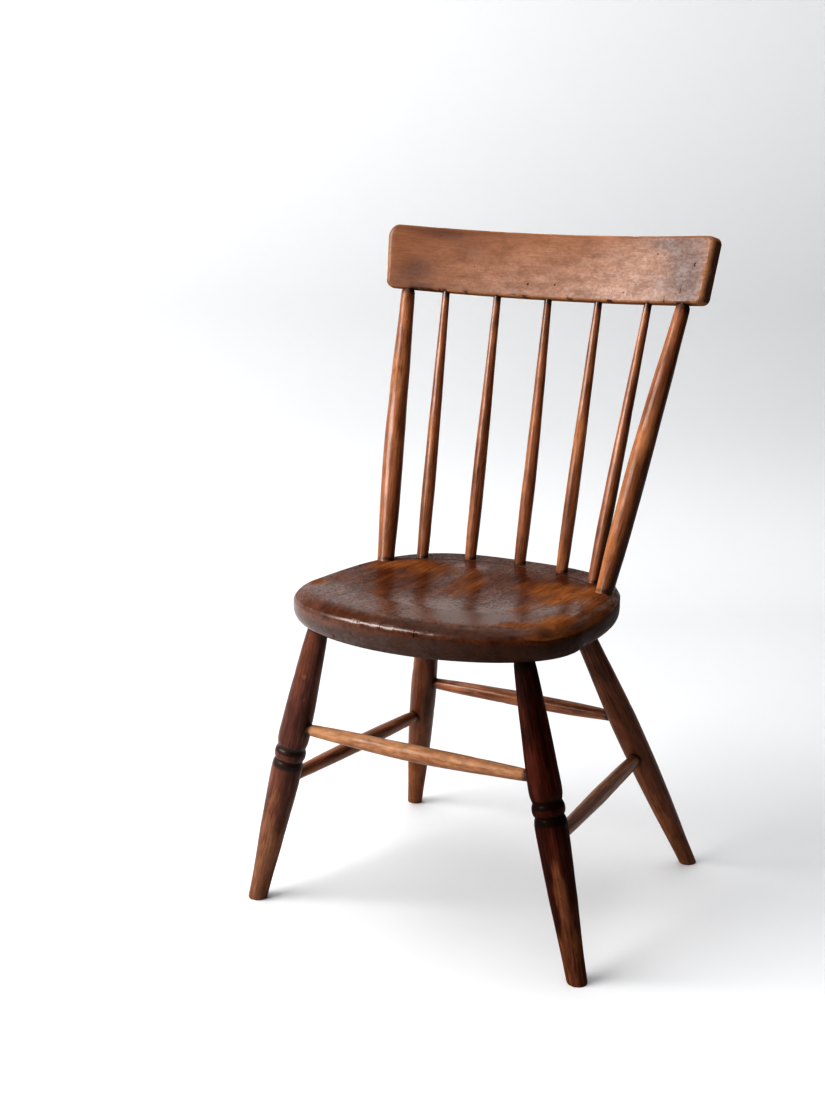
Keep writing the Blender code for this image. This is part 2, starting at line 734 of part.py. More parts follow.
def make_stretchers(legs, parent):
    """The four stretchers: one in front, one behind and one on each side."""
    left, right = -1, 1
    make_stretcher(
        "front_stretcher",
        (leg_point(left, True, FRONT_STRETCHER_HEIGHT), leg_point(right, True, FRONT_STRETCHER_HEIGHT)),
        (legs["front_left_leg"], legs["front_right_leg"]),
        (FRONT_STRETCHER_END_DIAMETER, FRONT_STRETCHER_MIDDLE_DIAMETER),
        FRONT_STRETCHER_BOW,
        parent,
        WORN_STRETCHER_WOOD,
    )
    make_stretcher(
        "rear_stretcher",
        (leg_point(left, False, REAR_STRETCHER_HEIGHT), leg_point(right, False, REAR_STRETCHER_HEIGHT)),
        (legs["rear_left_leg"], legs["rear_right_leg"]),
        (REAR_STRETCHER_END_DIAMETER, REAR_STRETCHER_MIDDLE_DIAMETER),
        0,
        parent,
        STRETCHER_WOOD,
    )
    for word, side in (("left", left), ("right", right)):
        make_stretcher(
            word + "_side_stretcher",
            (leg_point(side, True, SIDE_STRETCHER_HEIGHT), leg_point(side, False, SIDE_STRETCHER_HEIGHT)),
            (legs["front_" + word + "_leg"], legs["rear_" + word + "_leg"]),
            (SIDE_STRETCHER_END_DIAMETER, SIDE_STRETCHER_MIDDLE_DIAMETER),
            0,
            parent,
            STRETCHER_WOOD,
        )


def centre_on_floor(chair):
    """Moves the whole chair so that its box is centred on the origin in X and Y."""
    bpy.context.view_layer.update()
    graph = bpy.context.evaluated_depsgraph_get()
    points = []
    for thing in chair.children:
        if thing.type == "MESH" and not thing.hide_render:
            shown = thing.evaluated_get(graph)
            points += [shown.matrix_world @ vert.co for vert in shown.data.vertices]
    for index in (0, 1):
        values = [point[index] for point in points]
        chair.location[index] -= (min(values) + max(values)) / 2


def make_chair():
    """Builds every piece under one empty."""
    clear_scene()
    chair = bpy.data.objects.new("chair", None)
    bpy.context.scene.collection.objects.link(chair)
    seat = make_seat(chair)
    rail = make_rail(chair)
    cut_hollow(seat, chair)
    cut_groove(seat, chair)
    for word, side in (("left", -1), ("right", 1)):
        make_post(word + "_post", side, seat, rail, chair)
    for number, shares in enumerate(SPINDLE_PLACE_SHARES, start=1):
        sag = MIDDLE_SPINDLE_BOW if shares[0] == 0 else 0
        make_spindle("spindle_" + str(number), shares, sag, seat, rail, chair)
    legs = {}
    for word, side in (("left", -1), ("right", 1)):
        for place_word, front in (("front", True), ("rear", False)):
            name = place_word + "_" + word + "_leg"
            legs[name] = make_leg(name, side, front, seat, chair)
    make_stretchers(legs, chair)
    centre_on_floor(chair)


make_chair()
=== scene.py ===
# %% [markdown]
# # A spindle back chair, dressed
#
# The solids of this chair are already built and packed: a seat, a curved crest rail, two posts, five
# spindles, four turned legs and four stretchers. This lesson turns them into something that looks like
# an old chair: each piece is modelled again with finer turning, dents and worn edges, and gets the
# stained wood that decades of use leave behind. Nothing changes size, so the first step is to load the
# solids and keep their box as a yardstick.

import math

import bmesh
import bpy
import numpy as np
from mathutils import Matrix, Vector, noise


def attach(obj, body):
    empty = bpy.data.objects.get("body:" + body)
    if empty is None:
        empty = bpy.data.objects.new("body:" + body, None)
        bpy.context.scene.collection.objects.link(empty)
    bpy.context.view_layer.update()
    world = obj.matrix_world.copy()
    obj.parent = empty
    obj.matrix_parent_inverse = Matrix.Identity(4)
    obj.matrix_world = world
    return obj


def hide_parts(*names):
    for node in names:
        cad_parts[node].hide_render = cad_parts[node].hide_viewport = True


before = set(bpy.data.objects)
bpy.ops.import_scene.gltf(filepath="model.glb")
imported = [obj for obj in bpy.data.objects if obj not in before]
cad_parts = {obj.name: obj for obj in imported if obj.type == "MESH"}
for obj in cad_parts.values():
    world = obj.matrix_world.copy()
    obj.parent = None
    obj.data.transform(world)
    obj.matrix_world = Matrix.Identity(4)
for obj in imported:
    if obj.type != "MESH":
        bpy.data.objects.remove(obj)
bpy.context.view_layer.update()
bpy.ops.object.select_all(action="DESELECT")
print("solids:", sorted(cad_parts))

# %% [markdown]
# ## Where each turned piece runs
#
# A stick on this chair leans in two directions at once, and its ends are hidden in sockets. Copying
# those directions by hand would invite mistakes. Each packed stick already lies in its place, so its
# axis can be measured: the longest direction through its points, and then the middle of each end face.
# A leg is cut flat by the floor, so its lower end is the middle of that cut.

# %% Measure the axis of a stick
END_FACE_DEPTH = 0.0006
FLOOR_CUT = 0.0001
MICRON_DIGITS = 6


def stick_ends(node):
    """Middle of each end face of a packed stick: lower end first, or front or left end on a stretcher."""
    points = np.array([tuple(vert.co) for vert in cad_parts[node].data.vertices])
    points = np.unique(points.round(MICRON_DIGITS), axis=0)
    middle = points.mean(axis=0)
    direction = np.linalg.svd(points - middle, full_matrices=False)[2][0]
    along = (points - middle) @ direction
    ends = [points[along < along.min() + END_FACE_DEPTH], points[along > along.max() - END_FACE_DEPTH]]
    if node.endswith("leg"):
        on_floor = points[points[:, 2] < FLOOR_CUT]
        upper = max(ends, key=lambda end: end[:, 2].mean())
        ends = [on_floor, upper]
    ends = [Vector(end.mean(axis=0)) for end in ends]
    if node.endswith("side_stretcher"):
        return sorted(ends, key=lambda end: end.y)
    if node.endswith("stretcher"):
        return sorted(ends, key=lambda end: end.x)
    return sorted(ends, key=lambda end: end.z)


STICKS = [name for name in sorted(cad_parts) if name not in ("seat", "crest_rail")]
AXES = {name: stick_ends(name) for name in STICKS}
for name in STICKS:
    start, end = AXES[name]
    print(name, [round(value, 3) for value in start], "length", round((end - start).length, 4))


def on_lathe(node):
    """The matrix that takes a stick from the lathe to its place, its inverse, and the stick's length.

    On the lathe the stick runs along Z from the origin. Its Y side faces the back of the chair, or up
    where the stick itself runs to the back."""
    start, end = AXES[node]
    z = (end - start).normalized()
    back = Vector((0, 1, 0)) if abs(z.y) < abs(z.x) or abs(z.y) < abs(z.z) else Vector((0, 0, 1))
    y = (back - z * back.dot(z)).normalized()
    turn = Matrix((y.cross(z), y, z)).transposed()
    bench = Matrix.Translation(start) @ turn.to_4x4()
    return bench, bench.inverted(), (end - start).length


# %% [markdown]
# ## Camera
#
# The chair is seen from its front right, from a little above its back. The place and the lens were
# solved from the photograph: four feet stand on one floor, and left and right match, which fixes where
# the camera stood. A long lens keeps the legs nearly parallel. The widest line of the seat, a little
# behind the front feet, serves as the origin for the camera, the seat and the rail.

# %% Camera at the photograph's angle
FRONT_FEET_AHEAD = 0.072
WIDEST_LINE = AXES["front_left_leg"][0].y + FRONT_FEET_AHEAD
IMAGE_WIDTH = 825
FOCAL_PIXELS = 1726.45
CAMERA_RIGHT = 1.0286
CAMERA_AHEAD = 1.8331
CAMERA_HEIGHT = 1.0280
CAMERA_PLACE = Vector((CAMERA_RIGHT, WIDEST_LINE - CAMERA_AHEAD, CAMERA_HEIGHT))
CAMERA_HEADING = 0.52689
CAMERA_DIP = 0.24616
CAMERA_ROLL = 0.00165
SENSOR_WIDTH = 36.0

bpy.ops.object.camera_add(location=CAMERA_PLACE)
camera = bpy.context.object
camera.name = "camera"
heading = Matrix.Rotation(CAMERA_HEADING, 4, "Z")
dip = Matrix.Rotation(math.pi / 2 - CAMERA_DIP, 4, "X")
roll = Matrix.Rotation(CAMERA_ROLL, 4, "Z")
camera.matrix_world = Matrix.Translation(CAMERA_PLACE) @ heading @ dip @ roll
camera.data.sensor_fit = "HORIZONTAL"
camera.data.sensor_width = SENSOR_WIDTH
camera.data.lens = FOCAL_PIXELS * SENSOR_WIDTH / IMAGE_WIDTH
bpy.context.scene.camera = camera
print("camera at", [round(value, 3) for value in CAMERA_PLACE], "lens", round(camera.data.lens, 1), "mm")

# %% [markdown]
# ## A pale room
#
# The chair stands on a white floor in front of a white wall. One sheet does for both: a very wide plane
# whose rear edge is extruded upwards, and whose fold is bevelled to a wide cove, so that no line shows.
# It is turned to face the camera, so the cove lies level in the picture.

# %% Floor and wall
WALL_DISTANCE = 4.09
ROOM_WIDTH = 60.0
WALL_HEIGHT = 8.0
COVE_RADIUS = 0.60
COVE_STEPS = 24
view_back = Vector((-math.sin(CAMERA_HEADING), math.cos(CAMERA_HEADING), 0))
view_right = Vector((math.cos(CAMERA_HEADING), math.sin(CAMERA_HEADING), 0))


def start_piece(name):
    """Names what an add operator has just made."""
    piece = bpy.context.object
    piece.name = name
    piece.data.name = name
    return piece


floor_middle = CAMERA_PLACE + view_back * (WALL_DISTANCE - ROOM_WIDTH / 2)
floor_middle.z = 0
bpy.ops.mesh.primitive_plane_add(size=ROOM_WIDTH, location=floor_middle, rotation=(0, 0, CAMERA_HEADING))
room = start_piece("pale_room")
bpy.ops.object.transform_apply(location=True, rotation=True, scale=True)
bpy.ops.object.mode_set(mode="EDIT")
bpy.ops.mesh.select_all(action="DESELECT")
shell = bmesh.from_edit_mesh(room.data)
rear_edge = max(shell.edges, key=lambda edge: (edge.verts[0].co + edge.verts[1].co).dot(view_back))
rear_edge.select_set(True)
bmesh.update_edit_mesh(room.data)
bpy.ops.mesh.extrude_region_move(TRANSFORM_OT_translate={"value": (0, 0, WALL_HEIGHT)})
bpy.ops.mesh.select_all(action="DESELECT")
shell = bmesh.from_edit_mesh(room.data)
fold = next(edge for edge in shell.edges if len(edge.link_faces) == 2)
fold.select_set(True)
bmesh.update_edit_mesh(room.data)
bpy.ops.mesh.bevel(offset=COVE_RADIUS, segments=COVE_STEPS, profile=0.5)
bpy.ops.object.mode_set(mode="OBJECT")
bpy.ops.object.shade_smooth()
facing = [round(value, 2) for value in room.data.polygons[0].normal]
print("room faces:", len(room.data.polygons), "first looks towards", facing)

# %% [markdown]
# ## Soft light from the left
#
# The posts are bright on their left sides and nearly black on their right, and the shadows on the floor
# are faint and run to the right. That is a big window on the left and a dark room on the right. A large
# area lamp stands for the window and a weak one overhead for the ceiling. The table gives each lamp its
# place to the right of, behind and above the chair's middle, as the camera sees it, then its size, its
# power and its tint.

# %% Lights
CHAIR_MIDDLE = Vector((0, 0, 0.42))
LAMPS = {
    "window_lamp": ((-2.50, -0.95, 1.45), (2.4, 1.3), 107.0, (1.0, 0.996, 0.988)),
    "ceiling_lamp": ((-0.3, 0.4, 3.0), (3.4, 3.4), 50.0, (1.0, 1.0, 1.0)),
}

for name, ((right, behind, up), (width, height), watts, tint) in LAMPS.items():
    place = CHAIR_MIDDLE + view_right * right + view_back * behind + Vector((0, 0, up))
    bpy.ops.object.light_add(type="AREA", location=place)
    lamp = bpy.context.object
    lamp.name = name
    lamp.data.shape = "RECTANGLE"
    lamp.data.size = width
    lamp.data.size_y = height
    lamp.data.energy = watts
    lamp.data.color = tint
    lamp.rotation_euler = (CHAIR_MIDDLE - place).to_track_quat("-Z", "Y").to_euler()
    print(name, [round(value, 2) for value in place], watts, "W")

# %% [markdown]
# ## Helpers for nodes
#
# The light all round the chair, the paint of the room and the woods are all made of nodes. A few small
# functions keep that code short. A place is in metres, and its Z runs along the grain of the wood.

# %% Helpers for node trees
def add_node(tree, kind, settings=None, inputs=None):
    """Adds a node, sets its options, and sets or links its inputs."""
    node = tree.nodes.new(kind)
    for option, value in (settings or {}).items():
        setattr(node, option, value)
    for socket, value in (inputs or {}).items():
        if isinstance(value, bpy.types.NodeSocket):
            tree.links.new(value, node.inputs[socket])
        else:
            node.inputs[socket].default_value = value
    return node


def calculate(tree, operation, first, second, clamp=False):
    """A Math node on two values or sockets."""
    settings = {"operation": operation, "use_clamp": clamp}
    return add_node(tree, "ShaderNodeMath", settings, {0: first, 1: second}).outputs[0]


def times(tree, first, second, clamp=False):
    """The product of two values or sockets."""
    return calculate(tree, "MULTIPLY", first, second, clamp)


def plus(tree, first, second, clamp=False):
    """The sum of two values or sockets."""
    return calculate(tree, "ADD", first, second, clamp)


def blend_colours(tree, share, under, over):
    """A Mix node on two colours."""
    return add_node(tree, "ShaderNodeMix", {"data_type": "RGBA"}, {0: share, 6: under, 7: over}).outputs[2]


def ramp(tree, value, low, high, out_low=0.0, out_high=1.0):
    """A smooth step between two limits."""
    settings = {"interpolation_type": "SMOOTHSTEP"}
    inputs = {"Value": value, 1: low, 2: high, 3: out_low, 4: out_high}
    return add_node(tree, "ShaderNodeMapRange", settings, inputs).outputs[0]


def on_vectors(tree, operation, inputs):
    """The outputs of a Vector Math node."""
    return add_node(tree, "ShaderNodeVectorMath", {"operation": operation}, inputs).outputs


def scale_place(tree, place, factors):
    """Scales a place by three factors."""
    return on_vectors(tree, "MULTIPLY", {0: place, 1: factors})[0]


def squeeze(tree, place, share):
    """Squeezes a place along the grain, which draws every pattern on it out that way."""
    return scale_place(tree, place, (1.0, 1.0, share))


def cloud(tree, place, scale, detail=3.0, roughness=0.55, distortion=0.0):
    """Noise, from 0 to 1."""
    inputs = {"Vector": place, "Scale": scale, "Detail": detail, "Roughness": roughness}
    inputs["Distortion"] = distortion
    return add_node(tree, "ShaderNodeTexNoise", {}, inputs).outputs[0]


def effect_group(name, inputs, outputs):
    """An empty node group with a place, named value inputs and named value outputs."""
    group = bpy.data.node_groups.new(name, "ShaderNodeTree")
    group.interface.new_socket("Place", in_out="INPUT", socket_type="NodeSocketVector")
    for label in inputs:
        group.interface.new_socket(label, in_out="INPUT", socket_type="NodeSocketFloat")
    for label in outputs:
        group.interface.new_socket(label, in_out="OUTPUT", socket_type="NodeSocketFloat")
    return group, group.nodes.new("NodeGroupInput").outputs, group.nodes.new("NodeGroupOutput").inputs


def use_group(tree, group, inputs):
    """Puts a node group into a tree and gives its outputs."""
    return add_node(tree, "ShaderNodeGroup", {"node_tree": group}, inputs).outputs


# %% [markdown]
# ## The light all round
#
# The world does the rest of the lighting. It is bright on the left and dim on the right, so the varnish
# has something to mirror, and it looks pale to the camera from any side. The photograph's blacks are
# deep, so the picture is shown with a high contrast look.

# %% World
WORLD_BRIGHT = (0.80, 0.825, 0.85, 1.0)
WORLD_DIM = (0.032, 0.031, 0.031, 1.0)
WORLD_SEEN = (0.440, 0.443, 0.448, 1.0)
BRIGHT_SIDE = (Vector((0, 0, 0.55)) - view_right).normalized()
DIM_BELOW, BRIGHT_ABOVE = -0.35, 0.85
world = bpy.data.worlds.new("pale_world")
world.use_nodes = True
sky = world.node_tree
direction = add_node(sky, "ShaderNodeTexCoord").outputs["Generated"]
towards = on_vectors(sky, "DOT_PRODUCT", {0: direction, 1: BRIGHT_SIDE})["Value"]
share = ramp(sky, towards, DIM_BELOW, BRIGHT_ABOVE)
glow = blend_colours(sky, share, WORLD_DIM, WORLD_BRIGHT)
to_camera = add_node(sky, "ShaderNodeLightPath").outputs["Is Camera Ray"]
seen = blend_colours(sky, to_camera, glow, WORLD_SEEN)
sky.links.new(seen, sky.nodes["Background"].inputs["Color"])
bpy.context.scene.world = world
bpy.context.scene.view_settings.view_transform = "Standard"
bpy.context.scene.view_settings.look = "High Contrast"
print("world:", len(sky.nodes), "nodes")

# %% [markdown]
# ## White paint
#
# The floor is the palest, the foot of the wall is a little darker and the wall lightens again upwards:
# the wall's darker foot and lighter top are painted shade and painted light that even out how the lamps
# light it.
# The paint is clear from behind and fades out far from the chair, so neither the wall's back nor the
# floor's edge shows when the chair is looked at from the other sides.

# %% Paint the room
FLOOR_WHITE = (0.63, 0.628, 0.63, 1.0)
LOW_WALL_WHITE = (0.535, 0.535, 0.54, 1.0)
HIGH_WALL_WHITE = (0.615, 0.615, 0.62, 1.0)
FLOOR_ENDS = COVE_RADIUS * 0.6
HIGH_WALL = 1.3
FADE_NEAR, FADE_FAR = 3.4, 7.0
PAINT_ROUGHNESS = 0.62
room_paint = bpy.data.materials.new("white_room_paint")
room_paint.use_nodes = True
tree = room_paint.node_tree
paint = tree.nodes["Principled BSDF"]
place = add_node(tree, "ShaderNodeTexCoord").outputs["Object"]
above = add_node(tree, "ShaderNodeSeparateXYZ", {}, {0: place}).outputs["Z"]
# Darker at the wall's foot and lighter upwards: painted shade and painted light on the wall.
wall_white = blend_colours(tree, ramp(tree, above, FLOOR_ENDS, HIGH_WALL), LOW_WALL_WHITE, HIGH_WALL_WHITE)
white = blend_colours(tree, ramp(tree, above, 0.0, FLOOR_ENDS), FLOOR_WHITE, wall_white)
tree.links.new(white, paint.inputs["Base Color"])
paint.inputs["Roughness"].default_value = PAINT_ROUGHNESS
behind = add_node(tree, "ShaderNodeNewGeometry").outputs["Backfacing"]
clear = add_node(tree, "ShaderNodeBsdfTransparent").outputs[0]
distance = on_vectors(tree, "LENGTH", {0: place})["Value"]
gone = calculate(tree, "MAXIMUM", behind, ramp(tree, distance, FADE_NEAR, FADE_FAR))
one_sided = add_node(tree, "ShaderNodeMixShader", {}, {0: gone, 1: paint.outputs[0], 2: clear})
tree.links.new(one_sided.outputs[0], tree.nodes["Material Output"].inputs["Surface"])
room.data.materials.append(room_paint)
print("paint:", len(tree.nodes), "nodes")

# %% [markdown]
# ## Fibres, figure and pores
#
# Every wood on the chair shares three node groups: one for its fibres and pores, one for the patches
# where the varnish has worn away, and one for small specks and fine cracks. Each wood uses them with its
# own values.
#
# Wood is a bundle of tubes. Cut along them it shows fine streaks, soft bands a finger wide, the lines of
# the year rings, and short dark dashes where a pore is sliced open. All of them are patterns drawn out
# along the grain by different amounts. The table gives each layer its fineness as a share of the wood's
# own, its squeeze along the grain, the detail, roughness and distortion of its noise, and the limits
# between which it rises. The fibres, bands and rings are mixed with the broad figure to one tone.

# %% Node group: wood fibres
FIBRE_SQUEEZE = 0.045
WOOD_LAYERS = {
    "fibre": (1.0, FIBRE_SQUEEZE, (4.0, 0.65, 0.1), (0.30, 0.70)),
    "band": (0.32, 0.07, (3.0, 0.6, 0.4), (0.32, 0.68)),
    "figure": (0.085, 0.17, (4.0, 0.6, 0.9), (0.32, 0.68)),
    "pores": (1.6, 0.07, (2.0, 0.5, 0.0), (0.60, 0.70)),
}
RING_FINENESS = 0.20
RING_WANDER = {"Distortion": 9.0, "Detail": 3.0, "Detail Scale": 0.35}
FIBRE_SHARE, RING_SHARE, BAND_SHARE = 0.5, 0.15, 0.35

fibres, group_in, group_out = effect_group("wood_fibres", ("Fineness", "Figure Share"), ("Tone", "Pores"))
layers = {}
for label, (fineness, squeezed, texture, limits) in WOOD_LAYERS.items():
    place = squeeze(fibres, group_in["Place"], squeezed)
    noise_scale = times(fibres, group_in["Fineness"], fineness)
    layers[label] = ramp(fibres, cloud(fibres, place, noise_scale, *texture), *limits)
ring_inputs = {
    "Vector": squeeze(fibres, group_in["Place"], FIBRE_SQUEEZE),
    "Scale": times(fibres, group_in["Fineness"], RING_FINENESS),
    **RING_WANDER,
}
ring_settings = {"wave_type": "RINGS", "rings_direction": "Z"}
rings = add_node(fibres, "ShaderNodeTexWave", ring_settings, ring_inputs).outputs["Fac"]
small = plus(fibres, times(fibres, layers["fibre"], FIBRE_SHARE), times(fibres, rings, RING_SHARE))
small = plus(fibres, small, times(fibres, layers["band"], BAND_SHARE))
tone = add_node(fibres, "ShaderNodeMix", {}, {0: group_in["Figure Share"], 2: small, 3: layers["figure"]})
fibres.links.new(tone.outputs[0], group_out["Tone"])
fibres.links.new(layers["pores"], group_out["Pores"])
print("group wood_fibres:", len(fibres.nodes), "nodes")

# %% [markdown]
# ## Worn patches
#
# Varnish goes where hands, backs and heels rub. Each piece carries a soft map of that rubbing, called
# wear, at its points. On its own it would give an airbrushed edge, so the group adds ragged noise and
# only then cuts the sum off between two close limits. A wear of 0 hardly ever wears through, and a wear
# of 1 nearly always does.

# %% Node group: worn patches
PATCH_SQUEEZE, FINE_SQUEEZE = 0.30, 0.12
FINE_PATCHES, FINE_SHARE = 6.0, 0.55
WEAR_LEVEL, WORN_THROUGH = 0.5, 0.82
patches, group_in, group_out = effect_group("worn_patches", ("Wear", "Patch Scale", "Softness"), ("Worn",))
patch_place = squeeze(patches, group_in["Place"], PATCH_SQUEEZE)
fine_place = squeeze(patches, group_in["Place"], FINE_SQUEEZE)
broad = cloud(patches, patch_place, group_in["Patch Scale"], 5.0, 0.66, 0.25)
fine = cloud(patches, fine_place, times(patches, group_in["Patch Scale"], FINE_PATCHES), 3.0, 0.6)
ragged = plus(patches, broad, times(patches, fine, FINE_SHARE))
raised = plus(patches, ragged, calculate(patches, "SUBTRACT", group_in["Wear"], WEAR_LEVEL))
lower_limit = calculate(patches, "SUBTRACT", WORN_THROUGH, group_in["Softness"])
upper_limit = plus(patches, WORN_THROUGH, group_in["Softness"])
patches.links.new(ramp(patches, raised, lower_limit, upper_limit), group_out["Worn"])
print("group worn_patches:", len(patches.nodes), "nodes")

# %% [markdown]
# ## Specks and fine cracks
#
# Old finish is peppered with specks of dirt and tiny pits, and crossed by hairline cracks. Voronoi cells
# serve for both: a dot in the middle of some of the cells, and the thin borders between stretched cells,
# kept only where a slow noise allows them.

# %% Node group: specks and cracks
DOTTED_FROM, LARGEST_DOT, DOT_BORDER = 0.70, 0.26, 0.10
CRACK_SQUEEZE = 0.09
WANDER_FINENESS, WANDER_REACH = 1.7, (0.006, 0.006, 0.0)
CRACK_WIDTH = 0.018
CRACKED_SCALE, CRACKED_LIMITS = 24.0, (0.56, 0.66)
VORONOI = "ShaderNodeTexVoronoi"
scars, group_in, group_out = effect_group(
    "specks_and_cracks", ("Speck Scale", "Crack Scale", "Crack Shortness"), ("Specks", "Cracks")
)
cell_inputs = {"Vector": group_in["Place"], "Scale": group_in["Speck Scale"], "Randomness": 1.0}
cells = add_node(scars, VORONOI, {}, cell_inputs)
chosen = add_node(scars, "ShaderNodeSeparateColor", {}, {"Color": cells.outputs["Color"]})
dot_size = ramp(scars, chosen.outputs[0], DOTTED_FROM, 1.0, 0.0, LARGEST_DOT)
dots = calculate(scars, "SUBTRACT", dot_size, cells.outputs["Distance"])
scars.links.new(ramp(scars, dots, 0.0, DOT_BORDER), group_out["Specks"])
shortness = times(scars, group_in["Crack Shortness"], CRACK_SQUEEZE)
factors = add_node(scars, "ShaderNodeCombineXYZ", {}, {"X": 1.0, "Y": 1.0, "Z": shortness}).outputs[0]
crack_place = scale_place(scars, group_in["Place"], factors)
wander = cloud(scars, crack_place, times(scars, group_in["Crack Scale"], WANDER_FINENESS), 2.0)
shift = scale_place(scars, wander, WANDER_REACH)
wandered = on_vectors(scars, "ADD", {0: crack_place, 1: shift})[0]
border_inputs = {"Vector": wandered, "Scale": group_in["Crack Scale"]}
borders = add_node(scars, VORONOI, {"feature": "DISTANCE_TO_EDGE"}, border_inputs)
thin = ramp(scars, borders.outputs["Distance"], 0.0, CRACK_WIDTH, 1.0, 0.0)
allowed = ramp(scars, cloud(scars, group_in["Place"], CRACKED_SCALE, 2.0), *CRACKED_LIMITS)
scars.links.new(times(scars, thin, allowed), group_out["Cracks"])
print("group specks_and_cracks:", len(scars.nodes), "nodes")

# %% [markdown]
# ## Old stained wood
#
# The woods differ only in colour and in how hard they were used. From the bottom up each has: a dark and
# a lighter stain mixed by the figure, fibres over it, bare wood where the varnish has gone, then grime
# in the joints and grooves, which also carries painted shade on the sticks and stretchers and a painted
# reflection on the seat's side, then pores, specks and cracks. Worn wood is duller than varnish, and pores
# and cracks are pressed in with a Bump node. The varnish is a coat over all of it. It is missing where it
# has worn away, thicker where the piece is given more polish, and finely crazed.

# %% Function: a wood finish
PORE_BLACK = (0.008, 0.004, 0.0025, 1.0)
MOTTLE_SQUEEZE, MOTTLE_LIMITS = 0.45, (0.3, 0.7)
CRAZE_SQUEEZE, CRAZE_FINENESS, CRAZE_LIMITS = 0.6, 4.5, (0.32, 0.68)
FILM_LIMITS, THIN_FILM, THICK_FILM = (0.25, 0.75), 0.7, 1.3
GRIME_AND_PAINTED_LIGHT_LIMITS = (0.10, 0.90)
GRAIN_HEIGHT, MARK_DEPTH, BUMP_STRENGTH = 0.55, 1.6, 0.5


def stained_wood(name, look):
    """A procedural wood from a table of colours and amounts."""
    material = bpy.data.materials.new(name)
    material.use_nodes = True
    tree = material.node_tree
    shader = tree.nodes["Principled BSDF"]
    place = add_node(tree, "ShaderNodeAttribute", {"attribute_name": "grain"}).outputs["Vector"]
    wear, grime, polish = (
        add_node(tree, "ShaderNodeAttribute", {"attribute_name": label}).outputs["Fac"]
        for label in ("wear", "grime", "polish")
    )
    fibre_inputs = {"Place": place, "Fineness": look["fineness"], "Figure Share": look["figure"]}
    grain = use_group(tree, fibres, fibre_inputs)
    patch_inputs = {"Place": place, "Wear": wear, "Patch Scale": look["patch_scale"]}
    patch_inputs["Softness"] = look["patch_softness"]
    worn = use_group(tree, patches, patch_inputs)["Worn"]
    mark_inputs = {"Place": place, "Speck Scale": look["speck_scale"], "Crack Scale": look["crack_scale"]}
    mark_inputs["Crack Shortness"] = look["crack_shortness"]
    marks = use_group(tree, scars, mark_inputs)
    mottling = cloud(tree, squeeze(tree, place, MOTTLE_SQUEEZE), look["mottle_scale"], 5.0, 0.7)
    craze_scale = look["mottle_scale"] * CRAZE_FINENESS
    crazing = cloud(tree, squeeze(tree, place, CRAZE_SQUEEZE), craze_scale, 3.0, 0.6)

    tone = ramp(tree, grain["Tone"], 0.5 - look["contrast"], 0.5 + look["contrast"])
    lower = blend_colours(tree, ramp(tree, tone, 0.0, 0.5), look["dark"], look["middle"])
    stain = blend_colours(tree, ramp(tree, tone, 0.5, 1.0), lower, look["light"])
    bare = blend_colours(tree, tone, look["bare_dark"], look["bare_light"])
    colour = blend_colours(tree, times(tree, worn, look["bare"]), stain, bare)
    brightness = ramp(tree, mottling, *MOTTLE_LIMITS, 1.0 - look["mottle"], 1.0 + look["mottle"])
    toned = on_vectors(tree, "SCALE", {0: colour, "Scale": brightness})[0]
    ragged_grime = plus(tree, grime, calculate(tree, "SUBTRACT", mottling, 0.5))
    grime_share = times(tree, ramp(tree, ragged_grime, *GRIME_AND_PAINTED_LIGHT_LIMITS), look["grime"])
    colour = blend_colours(tree, grime_share, toned, look["grime_colour"])
    colour = blend_colours(tree, times(tree, grain["Pores"], look["pores"]), colour, PORE_BLACK)
    marked = calculate(tree, "MAXIMUM", marks["Specks"], marks["Cracks"])
    mark_share = times(tree, times(tree, marked, polish), look["marks"], True)
    colour = blend_colours(tree, mark_share, colour, PORE_BLACK)
    tree.links.new(colour, shader.inputs["Base Color"])

    smoothest, roughest = look["roughness"] - look["unevenness"], look["roughness"] + look["unevenness"]
    satin = ramp(tree, mottling, *MOTTLE_LIMITS, smoothest, roughest)
    dull = times(tree, worn, look["worn_dullness"])
    tree.links.new(plus(tree, satin, dull, True), shader.inputs["Roughness"])

    sunk = plus(tree, grain["Pores"], times(tree, marked, MARK_DEPTH))
    height = calculate(tree, "SUBTRACT", times(tree, grain["Tone"], GRAIN_HEIGHT), sunk)
    height = plus(tree, height, times(tree, mottling, look["waviness"]))
    bump_inputs = {"Height": height, "Strength": BUMP_STRENGTH, "Distance": look["relief"]}
    bump = add_node(tree, "ShaderNodeBump", {}, bump_inputs)
    tree.links.new(bump.outputs["Normal"], shader.inputs["Normal"])

    film = ramp(tree, mottling, *FILM_LIMITS, look["varnish"] * THIN_FILM, look["varnish"] * THICK_FILM)
    crazed = ramp(tree, crazing, *CRAZE_LIMITS, 1 - look["crazing"], 1 + look["crazing"])
    film = times(tree, times(tree, film, polish), crazed)
    kept = calculate(tree, "SUBTRACT", 1.0, worn, True)
    tree.links.new(times(tree, kept, film, True), shader.inputs["Coat Weight"])
    shader.inputs["Coat Roughness"].default_value = look["varnish_roughness"]
    shader.inputs["Specular IOR Level"].default_value = look["gloss"]
    return material
